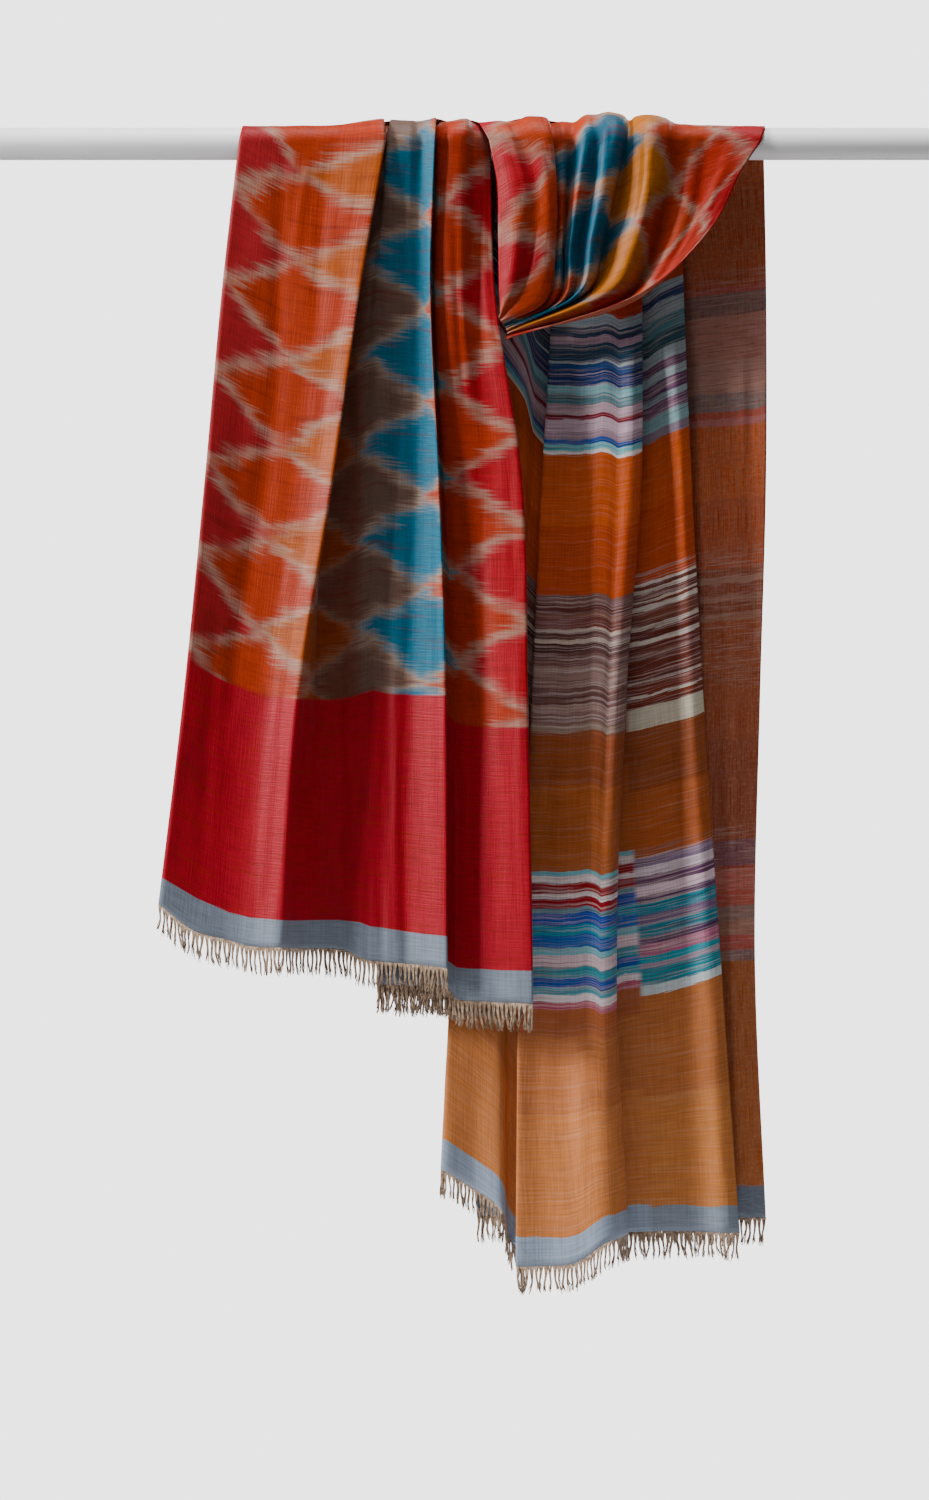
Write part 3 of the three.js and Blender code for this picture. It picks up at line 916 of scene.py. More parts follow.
# Bands of the striped half, from the hem up. Columns: distance from the hem at which a band
# starts, in millimetres, and its colour. The first plan is for the pleat in the middle, the
# second for the cloth near the left selvedge and the third for the cloth near the right one.
MIDDLE_BANDS = (
    (0, "#8792a0"),
    (27, "#ab704c"),
    (150, "#a26848"),
    (230, "#985c42"),
    (257, "#b06070"),
    (263, "#ddd2d4"),
    (271, "#5d95a2"),
    (277, "#2a5298"),
    (288, "#4a8a96"),
    (297, "#d8c2c8"),
    (310, "#7fb4bc"),
    (318, "#2d62a4"),
    (329, "#2f8aa2"),
    (340, "#234f9c"),
    (352, "#6a8a94"),
    (357, "#8e2530"),
    (367, "#d8cccc"),
    (372, "#8a1f2a"),
    (382, "#d8d0d0"),
    (389, "#79aab4"),
    (393, "#9a5a3c"),
    (480, "#8a4e36"),
    (532, "#8f7a6c"),
    (540, "#7c5f58"),
    (553, "#95796f"),
    (560, "#6b4c46"),
    (578, "#8d736b"),
    (600, "#6e4f4a"),
    (612, "#4c2c28"),
    (622, "#b9a99c"),
    (627, "#5a3a34"),
    (633, "#ad9c90"),
    (637, "#6b4038"),
    (649, "#7e5a50"),
    (653, "#5c352f"),
    (661, "#70504c"),
    (671, "#a84c20"),
    (740, "#b05522"),
    (811, "#dcd8d6"),
    (815, "#6fb0b8"),
    (821, "#1d4f92"),
    (827, "#9a8490"),
    (833, "#c0a8b4"),
    (846, "#7a2030"),
    (851, "#b49aa6"),
    (862, "#5a8088"),
    (871, "#7fb0b8"),
    (880, "#24386a"),
    (896, "#2c4c7c"),
    (902, "#a8b8bc"),
    (905, "#24465c"),
    (921, "#a890a0"),
    (929, "#2a3f58"),
    (940, "#8a98a0"),
    (950, "#963a24"),
)
SELVEDGE_BANDS = (
    (0, "#79828c"),
    (26, "#a9704a"),
    (140, "#a16746"),
    (247, "#b9c2c4"),
    (257, "#2a7f8c"),
    (272, "#9a8c98"),
    (279, "#2f8a96"),
    (286, "#a0607a"),
    (296, "#4a3050"),
    (304, "#1f6f80"),
    (316, "#6a5a74"),
    (326, "#1f7484"),
    (339, "#4c3454"),
    (345, "#d2bcc6"),
    (356, "#5a3a58"),
    (364, "#c8bcc4"),
    (375, "#7c6a80"),
    (383, "#965438"),
    (450, "#844a32"),
    (511, "#bfb6a6"),
    (532, "#6b3324"),
    (543, "#c9bfb4"),
    (546, "#6b3324"),
    (557, "#c4b8ac"),
    (560, "#643024"),
    (584, "#8a6a5e"),
    (586, "#643024"),
    (596, "#cabfb4"),
    (601, "#5f2d24"),
    (610, "#c4b8ac"),
    (616, "#6f4034"),
    (630, "#cdc2b8"),
    (635, "#6b3a30"),
    (638, "#c4b8ac"),
    (641, "#643024"),
    (647, "#cabfb4"),
    (652, "#6b3a30"),
    (655, "#cdc6bc"),
    (658, "#aa4e22"),
    (730, "#b25624"),
    (797, "#8a7c88"),
    (807, "#8fb0b4"),
    (822, "#7a5a74"),
    (834, "#9fb2b8"),
    (841, "#6a4a68"),
    (854, "#a6b6ba"),
    (863, "#6a4a68"),
    (872, "#a0b0b4"),
    (884, "#2c5560"),
    (901, "#5c848c"),
    (916, "#9aa8ae"),
    (932, "#30406a"),
    (941, "#9fb0b6"),
    (949, "#a84c20"),
)
RIGHT_BANDS = (
    (0, "#6c747e"),
    (30, "#a06030"),
    (140, "#96582c"),
    (256, "#3c6a78"),
    (266, "#b04050"),
    (280, "#9a8478"),
    (296, "#6a7c80"),
    (312, "#b04048"),
    (330, "#c07070"),
    (346, "#a02a38"),
    (352, "#34406a"),
    (378, "#7a3a2a"),
    (480, "#8a4228"),
    (596, "#8c7468"),
    (604, "#5c2c24"),
    (616, "#8c7468"),
    (622, "#6b3026"),
    (634, "#a08c80"),
    (640, "#6b3026"),
    (648, "#a84c20"),
    (720, "#bd5c1e"),
    (791, "#b47880"),
    (801, "#a8484c"),
    (806, "#4f7a84"),
    (824, "#b09894"),
    (860, "#b48c88"),
    (901, "#3c5e6c"),
    (925, "#b05058"),
    (931, "#a8502c"),
)
# Places across the cloth between which the middle plan takes over from the selvedge's.
MIDDLE_START = 84.0
MIDDLE_END = 90.0
# Zones with a pattern of fine bands, in millimetres from the hem.
PATTERNED_ZONES = ((257, 393), (532, 671), (811, 950))
ZONE_EDGE = 2.0
# How strongly stray picks show between the zones, and how much more inside them.
PICKS_BETWEEN = 0.08
PICKS_IN_ZONES = 0.5
# Stray picks. Columns: seed, length, thickness in millimetres, and colour.
STRAY_PICKS = (
    (81.0, 120, 2.2, "#c4b4b0"),
    (83.0, 90, 1.5, "#33201e"),
    (85.0, 60, 1.2, "#a89498"),
)
# The lattice's columns from one selvedge to the other.
IKAT_COLOURS = (
    "#b83e42",
    "#c44e20",
    "#c8680e",
    "#846a60",
    "#1784a2",
    "#c44c24",
    "#c83a44",
    "#cc5420",
    "#15708c",
    "#d8860e",
    "#cc5420",
    "#c44420",
    "#c03a3e",
)
IKAT_WHITE = "#d2b8a6"
PLAIN_RED = "#c83c48"
STREAK_RED = "#b43c38"
GREY_BAND = "#a4aebc"
STREAK_BROWN = "#8a3020"
# Between these places across the cloth lies the deep fold beside the ridge of the front fall's left panel,
# where shade is painted in: the lattice is faint there and a dark rust is blended over the dye, as painted
# shade.
VALLEY_START = 168.0
VALLEY_END = 256.0
VALLEY_START_EDGE = 18.0
VALLEY_END_EDGE = 12.0
VALLEY_SHADE_SHARE = 0.6
VALLEY_PAINTED_SHADE = "#7c3a1a"
# A colour ramp takes so many stops, so a long table is split. The last ramp runs on past its last
# band, and two ramps meet within a short stretch. Both lengths are in millimetres.
MOST_STOPS = 30
LAST_BAND = 10
RAMP_JOIN = 0.3


class TwillCloth(Finish):
    """Wool and silk twill, woven fine and pressed.

    The silk weft gives the face a soft satin shine, and the slubs in its threads show as faint
    streaks along the weft and the warp.
    """

    def __init__(self, name: str, reverse: bool) -> None:
        """Starts the cloth.

        Args:
            name: The material's name.
            reverse: Whether it is the reverse, which is dull and lets the warp show.
        """
        super().__init__(name)
        self.reverse = reverse
        self.plan = self.add("ShaderNodeUVMap", {}, uv_map="weave").outputs[0]
        self.across, self.warp, _ = self.add("ShaderNodeSeparateXYZ", {0: self.plan}).outputs

    def streaks(self, weft: float, warp: float, seed: float, detail: float = 2.0) -> bpy.types.NodeSocket:
        """Makes random streaks in the weave.

        Args:
            weft: Length along the weft, in millimetres.
            warp: Length along the warp, in millimetres.
            seed: Shift that makes these streaks unlike the others.
            detail: Number of finer octaves.

        Returns:
            The streaks' strength, about 0.5 on average.
        """
        scale = (1 / (weft * MM), 1 / (warp * MM), 1)
        place = self.add("ShaderNodeMapping", {0: self.plan, 1: (seed, seed * 2, seed), 3: scale})
        inputs = {"Vector": place.outputs[0], "Scale": 1.0, "Detail": detail}
        return self.add("ShaderNodeTexNoise", inputs).outputs[0]

    def shifted(
        self, socket: bpy.types.NodeSocket, streak: bpy.types.NodeSocket, reach: float
    ) -> bpy.types.NodeSocket:
        """Shifts a value either way, as a streak says.

        Args:
            socket: The value.
            streak: The streak, about 0.5 on average.
            reach: Distance between the least and the greatest shift.

        Returns:
            The shifted value.
        """
        swing = self.add("ShaderNodeMath", {0: streak, 1: 0.5}, operation="SUBTRACT").outputs[0]
        inputs = {0: swing, 1: reach, 2: socket}
        return self.add("ShaderNodeMath", inputs, operation="MULTIPLY_ADD").outputs[0]

    def step(self, socket: bpy.types.NodeSocket, low: float, high: float) -> bpy.types.NodeSocket:
        """Goes smoothly from 0 to 1 as a value passes from low to high."""
        inputs = {0: socket, 1: low, 2: high, 3: 0.0, 4: 1.0}
        return self.add("ShaderNodeMapRange", inputs, interpolation_type="SMOOTHSTEP").outputs[0]

    def blend(self, share: object, below: object, above: object, how: str = "MIX") -> bpy.types.NodeSocket:
        """Blends two colours."""
        inputs = {0: share, 6: below, 7: above}
        return self.add("ShaderNodeMix", inputs, data_type="RGBA", blend_type=how).outputs[2]

    def bands(self, warp: bpy.types.NodeSocket, table: tuple) -> bpy.types.NodeSocket:
        """Colours the weft bands of a table.

        Args:
            warp: Distance from the hem, in metres.
            table: Rows of a band's start, in millimetres, and its colour.

        Returns:
            The colour.
        """
        colour = None
        for first in range(0, len(table), MOST_STOPS):
            rows = table[first : first + MOST_STOPS]
            start = rows[0][0]
            rest = table[first + MOST_STOPS :]
            following = rest[0][0] if rest else rows[-1][0] + LAST_BAND
            inputs = {0: warp, 1: start * MM, 2: following * MM, 3: 0.0, 4: 1.0}
            share = self.add("ShaderNodeMapRange", inputs).outputs[0]
            ramp = self.add("ShaderNodeValToRGB", {0: share})
            stops = [
                ((place - start) / (following - start), yarn_colour(code, STRIPE_TONE))
                for place, code in rows
            ]
            self.fill_ramp(ramp, stops, "CONSTANT")
            if colour is None:
                colour = ramp.outputs[0]
                continue
            above = self.step(warp, (start - RAMP_JOIN) * MM, start * MM)
            colour = self.blend(above, colour, ramp.outputs[0])
        return colour

    def lattice_lines(self, warp: bpy.types.NodeSocket) -> tuple[bpy.types.NodeSocket, ...]:
        """Counts the lattice's two sets of slanting lines, wavering as the tied yarn does.

        Args:
            warp: Distance from the lattice's lower edge, in metres.

        Returns:
            The counts of the rising and of the falling lines, whole on a line.
        """
        inputs = {0: self.across, 1: 1 / (IKAT_COLUMN * MM)}
        column = self.add("ShaderNodeMath", inputs, operation="MULTIPLY").outputs[0]
        column = self.shifted(column, self.streaks(weft=40, warp=1.7, seed=3, detail=3), 0.55)
        column = self.shifted(column, self.streaks(weft=60, warp=9, seed=11), 0.5)
        inputs = {0: warp, 1: IKAT_FIRST_NODE * MM}
        first = self.add("ShaderNodeMath", inputs, operation="SUBTRACT").outputs[0]
        inputs = {0: first, 1: 1 / (IKAT_REPEAT * MM)}
        repeat = self.add("ShaderNodeMath", inputs, operation="MULTIPLY").outputs[0]
        repeat = self.shifted(repeat, self.streaks(weft=70, warp=50, seed=5), 0.35)
        half = self.add("ShaderNodeMath", {0: column, 1: 0.5}, operation="MULTIPLY").outputs[0]
        return tuple(
            self.add("ShaderNodeMath", {0: repeat, 1: half}, operation=how).outputs[0]
            for how in ("ADD", "SUBTRACT")
        )

    def valley_shade(self) -> bpy.types.NodeSocket:
        """Marks the deep fold beside the left panel's ridge, where shade is painted into the cloth's
        colour.

        Returns:
            1 inside it and 0 outside.
        """
        low = (VALLEY_START - VALLEY_START_EDGE) * MM
        high = (VALLEY_START + VALLEY_START_EDGE) * MM
        inside = self.step(self.across, low, high)
        low = (VALLEY_END - VALLEY_END_EDGE) * MM
        high = (VALLEY_END + VALLEY_END_EDGE) * MM
        beyond = self.step(self.across, high, low)
        return self.add("ShaderNodeMath", {0: inside, 1: beyond}, operation="MULTIPLY").outputs[0]

    def undyed(
        self, lines: tuple[bpy.types.NodeSocket, ...], valley_shade: bpy.types.NodeSocket
    ) -> bpy.types.NodeSocket:
        """Works out how pale the yarn was left along the lattice's lines, with less pale in the deep fold,
        where shade is painted.

        Args:
            lines: The counts of the lattice's lines.
            valley_shade: Where shade is painted, 1 in the deep fold; the pale lines are faded there.

        Returns:
            How pale the yarn is, from 0 to 1.
        """
        near = [
            self.add("ShaderNodeMath", {0: line, 1: 0.5}, operation="PINGPONG").outputs[0]
            for line in lines
        ]
        inputs = {0: near[0], 1: near[1]}
        nearest = self.add("ShaderNodeMath", inputs, operation="MINIMUM").outputs[0]
        feather = self.shifted(nearest, self.streaks(weft=24, warp=1.6, seed=17, detail=3), 0.2)
        inputs = {0: 1.0, 1: self.step(feather, *LINE_EDGE)}
        outline = self.add("ShaderNodeMath", inputs, operation="SUBTRACT").outputs[0]
        dye = self.step(self.streaks(weft=50, warp=18, seed=23), 0.2, 0.6)
        inputs = {0: dye, 1: PALE_RANGE, 2: LEAST_PALE}
        taken = self.add("ShaderNodeMath", inputs, operation="MULTIPLY_ADD").outputs[0]
        pale = self.add("ShaderNodeMath", {0: outline, 1: taken}, operation="MULTIPLY").outputs[0]
        # Painted shade: the lattice's pale lines are faded in the deep fold.
        inputs = {0: valley_shade, 1: -VALLEY_SHADE_SHARE, 2: 1.0}
        kept = self.add("ShaderNodeMath", inputs, operation="MULTIPLY_ADD").outputs[0]
        return self.add("ShaderNodeMath", {0: pale, 1: kept}, operation="MULTIPLY").outputs[0]

    def ikat(self, warp: bpy.types.NodeSocket) -> bpy.types.NodeSocket:
        """Colours the ikat lattice, whose edges are feathered by the dyed weft.

        Args:
            warp: Distance from the lattice's lower edge, in metres.

        Returns:
            The colour.
        """
        lines = self.lattice_lines(warp)
        valley_shade = self.valley_shade()
        whole = [
            self.add("ShaderNodeMath", {0: line}, operation="FLOOR").outputs[0] for line in lines
        ]
        which = self.add("ShaderNodeMath", {0: whole[0], 1: whole[1]}, operation="SUBTRACT")
        count = len(IKAT_COLOURS)
        inputs = {0: which.outputs[0], 1: 1 / count, 2: 0.5 / count}
        share = self.add("ShaderNodeMath", inputs, operation="MULTIPLY_ADD").outputs[0]
        ramp = self.add("ShaderNodeValToRGB", {0: share})
        stops = [(k / count, yarn_colour(code)) for k, code in enumerate(IKAT_COLOURS)]
        self.fill_ramp(ramp, stops, "CONSTANT")
        # Painted shade: a dark rust is blended over the deep fold.
        inputs = {0: valley_shade, 1: VALLEY_SHADE_SHARE}
        painted_shade = self.add("ShaderNodeMath", inputs, operation="MULTIPLY").outputs[0]
        colour = self.blend(painted_shade, ramp.outputs[0], yarn_colour(VALLEY_PAINTED_SHADE))
        streaky = self.step(self.streaks(weft=80, warp=7, seed=29), 0.5, 0.8)
        browned = self.add("ShaderNodeMath", {0: streaky, 1: 0.5}, operation="MULTIPLY").outputs[0]
        colour = self.blend(browned, colour, yarn_colour(STREAK_BROWN))
        return self.blend(self.undyed(lines, valley_shade), colour, yarn_colour(IKAT_WHITE))

    def dress(self, colour: bpy.types.NodeSocket) -> None:
        """Adds the slubs, the shine and the thread relief to a colour.

        Args:
            colour: The woven colour.
        """
        weft = self.step(self.streaks(weft=30, warp=1.6, seed=41, detail=3), 0.2, 0.8)
        warp = self.step(self.streaks(weft=1.5, warp=45, seed=43, detail=3), 0.2, 0.8)
        cloud = self.streaks(weft=90, warp=90, seed=47)
        tone = DARKEST_SLUB
        for threads, depth in ((weft, WEFT_SLUBS), (warp, WARP_SLUBS)):
            inputs = {0: threads, 1: depth, 2: tone}
            tone = self.add("ShaderNodeMath", inputs, operation="MULTIPLY_ADD").outputs[0]
        tone = self.shifted(tone, cloud, 0.3)
        grain = self.add("ShaderNodeCombineColor", {0: tone, 1: tone, 2: tone}).outputs[0]
        colour = self.blend(1.0, colour, grain, "MULTIPLY")
        if self.reverse:
            bare = self.step(self.streaks(weft=1.8, warp=40, seed=51, detail=3), 0.3, 0.62)
            dark = self.step(self.streaks(weft=50, warp=2.4, seed=53, detail=3), 0.5, 0.7)
            grey = FRONT_GREY_BAND * MM
            dyed = self.step(self.warp, grey - 2 * MM, grey)
            blotch = self.step(self.streaks(weft=9, warp=3.2, seed=57, detail=3), 0.5, 0.68)
            # Columns: where a tint shows, its greatest share and its colour.
            parts = (
                (dark, 0.38, "#4a1812"),
                (1.0, 0.32, "#9c3c26"),
                (bare, 0.4, "#b08c76"),
                (blotch, 0.35, "#b4866c"),
            )
            for place, most, code in parts:
                share = self.add("ShaderNodeMath", {0: place, 1: most}, operation="MULTIPLY").outputs[0]
                share = self.add("ShaderNodeMath", {0: share, 1: dyed}, operation="MULTIPLY").outputs[0]
                colour = self.blend(share, colour, yarn_colour(code, STRIPE_TONE))
        relief = self.add("ShaderNodeMath", {0: weft, 1: warp}, operation="ADD").outputs[0]
        bump = self.add("ShaderNodeBump", {"Strength": 0.35, "Distance": 0.0004, "Height": relief})
        self.tree.links.new(colour, self.surface.inputs["Base Color"])
        self.tree.links.new(bump.outputs[0], self.surface.inputs["Normal"])
        self.surface.inputs["Roughness"].default_value = 0.8 if self.reverse else 0.5
        self.surface.inputs["Specular IOR Level"].default_value = 0.12 if self.reverse else 0.16
        self.surface.inputs["Sheen Weight"].default_value = 0.02 if self.reverse else 0.03
        self.surface.inputs["Sheen Roughness"].default_value = 0.45


class IkatTwill(TwillCloth):
    """The ikat half of the shawl, with its plain red and grey end bands."""

    def __init__(self, name: str, reverse: bool) -> None:
        """Makes the material.

        Args:
            name: The material's name.
            reverse: Whether it is the reverse.
        """
        super().__init__(name, reverse)
        edge = FRONT_PLAIN_BAND * MM
        above = self.add("ShaderNodeMath", {0: self.warp, 1: edge}, operation="SUBTRACT")
        lattice = self.ikat(above.outputs[0])
        wavering = self.shifted(self.warp, self.streaks(weft=40, warp=400, seed=61), 6 * MM)
        streak = self.step(self.streaks(weft=60, warp=3, seed=63), 0.45, 0.8)
        red = self.blend(streak, yarn_colour(PLAIN_RED), yarn_colour(STREAK_RED))
        woven = self.step(wavering, edge - MM, edge + 2 * MM)
        colour = self.blend(woven, red, lattice)
        grey = FRONT_GREY_BAND * MM
        dyed = self.step(self.warp, grey - 0.4 * MM, grey + 0.6 * MM)
        colour = self.blend(dyed, yarn_colour(GREY_BAND), colour)
        self.dress(colour)


class StripedTwill(TwillCloth):
    """The striped half of the shawl, woven in weft bands with a grey end band."""

    def __init__(self, name: str, reverse: bool, right_side: bool) -> None:
        """Makes the material.

        Args:
            name: The material's name.
            reverse: Whether it is the reverse.
            right_side: Whether the cloth is the half near the right selvedge.
        """
        super().__init__(name, reverse)
        wavering = self.shifted(self.warp, self.streaks(weft=70, warp=300, seed=71), 8 * MM)
        wavering = self.shifted(wavering, self.streaks(weft=26, warp=1.4, seed=73), 4.5 * MM)
        if right_side:
            colour = self.bands(wavering, RIGHT_BANDS)
        else:
            middle = self.bands(wavering, MIDDLE_BANDS)
            selvedge = self.bands(wavering, SELVEDGE_BANDS)
            inner = self.step(self.across, MIDDLE_START * MM, MIDDLE_END * MM)
            colour = self.blend(inner, selvedge, middle)
        self.dress(self.uneven_picks(colour))

    def uneven_picks(self, colour: bpy.types.NodeSocket) -> bpy.types.NodeSocket:
        """Adds stray pale and dark picks, many in the patterned zones and few in the plain ones.

        Args:
            colour: The banded colour.

        Returns:
            The colour with the stray picks.
        """
        patterned = 0.0
        for start, end in PATTERNED_ZONES:
            above = self.step(self.warp, (start - ZONE_EDGE) * MM, (start + ZONE_EDGE) * MM)
            below = self.step(self.warp, (end + ZONE_EDGE) * MM, (end - ZONE_EDGE) * MM)
            zone = self.add("ShaderNodeMath", {0: above, 1: below}, operation="MULTIPLY").outputs[0]
            patterned = self.add("ShaderNodeMath", {0: patterned, 1: zone}, operation="ADD").outputs[0]
        inputs = {0: patterned, 1: PICKS_IN_ZONES, 2: PICKS_BETWEEN}
        share = self.add("ShaderNodeMath", inputs, operation="MULTIPLY_ADD").outputs[0]
        for seed, weft, warp, code in STRAY_PICKS:
            stray = self.step(self.streaks(weft, warp, seed, detail=3), 0.5, 0.68)
            taken = self.add("ShaderNodeMath", {0: stray, 1: share}, operation="MULTIPLY").outputs[0]
            colour = self.blend(taken, colour, yarn_colour(code, STRIPE_TONE))
        return colour


class WarpYarn(Finish):
    """Loose wool warp ends, matt and slightly uneven in colour."""

    def __init__(self) -> None:
        """Makes the material."""
        super().__init__("wool_warp_yarn")
        where = self.add("ShaderNodeTexCoord", {}).outputs["Object"]
        noise = self.add("ShaderNodeTexNoise", {"Vector": where, "Scale": 260.0, "Detail": 2.0})
        ramp = self.add("ShaderNodeValToRGB", {0: noise.outputs[0]})
        stops = ((0.3, "#6a5646"), (0.5, "#988370"), (0.7, "#bda894"))
        stops = [(place, yarn_colour(code, STRIPE_TONE)) for place, code in stops]
        self.fill_ramp(ramp, stops, "LINEAR")
        self.tree.links.new(ramp.outputs[0], self.surface.inputs["Base Color"])
        self.surface.inputs["Roughness"].default_value = 0.9
        self.surface.inputs["Sheen Weight"].default_value = 0.2


class WhiteEnamel(Finish):
    """Satin white enamel on steel tube, sprayed: smooth, with the faintest orange peel."""

    def __init__(self) -> None:
        """Makes the material."""
        super().__init__("satin_white_enamel")
        place = self.add("ShaderNodeTexCoord", {}).outputs["Object"]
        peel = self.add("ShaderNodeTexNoise", {"Vector": place, "Scale": 420.0, "Detail": 1.0})
        inputs = {"Strength": 0.04, "Distance": 0.0002, "Height": peel.outputs[0]}
        bump = self.add("ShaderNodeBump", inputs)
        tone = self.add("ShaderNodeTexNoise", {"Vector": place, "Scale": 3.0})
        ramp = self.add("ShaderNodeValToRGB", {0: tone.outputs[0]})
        stops = ((0.3, "#f8f8f8"), (0.7, "#fcfcfc"))
        self.fill_ramp(ramp, [(share, linear_colour(code)) for share, code in stops], "LINEAR")
        self.tree.links.new(ramp.outputs[0], self.surface.inputs["Base Color"])
        self.tree.links.new(bump.outputs[0], self.surface.inputs["Normal"])
        self.surface.inputs["Roughness"].default_value = 0.38


@dataclass
class Rail:
    """The straight rail, a painted steel tube with closed ends.

    Attributes:
        edge: Radius of its rounded end edges, in millimetres.
        edge_steps: Number of steps round such an edge.
        sides: Number of its sides.
        smooth_below: Angle below which an edge is shaded smooth, in degrees.
    """

    edge: float = 1.2
    edge_steps: int = 4
    sides: int = 96
    smooth_below: float = 35.0

    def make_piece(self, finish: bpy.types.Material) -> bpy.types.Object:
        """Makes the rail along x, centred on the part's origin.

        Args:
            finish: Material of the paint.

        Returns:
            The piece, riding on the part's body and standing for its solid.
        """
        bpy.ops.object.select_all(action="DESELECT")
        bpy.ops.mesh.primitive_cylinder_add(
            vertices=self.sides,
            radius=RAIL_RADIUS * MM,
            depth=RAIL_LENGTH * MM,
            rotation=(0, math.pi / 2, 0),
        )
        piece = bpy.context.object
        piece.name = "rail_tube"
        bpy.ops.object.transform_apply(location=True, rotation=True, scale=True)
        rounding = piece.modifiers.new("rounding", "BEVEL")
        rounding.width = self.edge * MM
        rounding.segments = self.edge_steps
        rounding.limit_method = "ANGLE"
        bpy.ops.object.modifier_apply(modifier="rounding")
        bpy.ops.object.shade_smooth_by_angle(angle=math.radians(self.smooth_below))
        piece.data.materials.append(finish)
        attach(piece, "root")
        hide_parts("rail")
        return piece


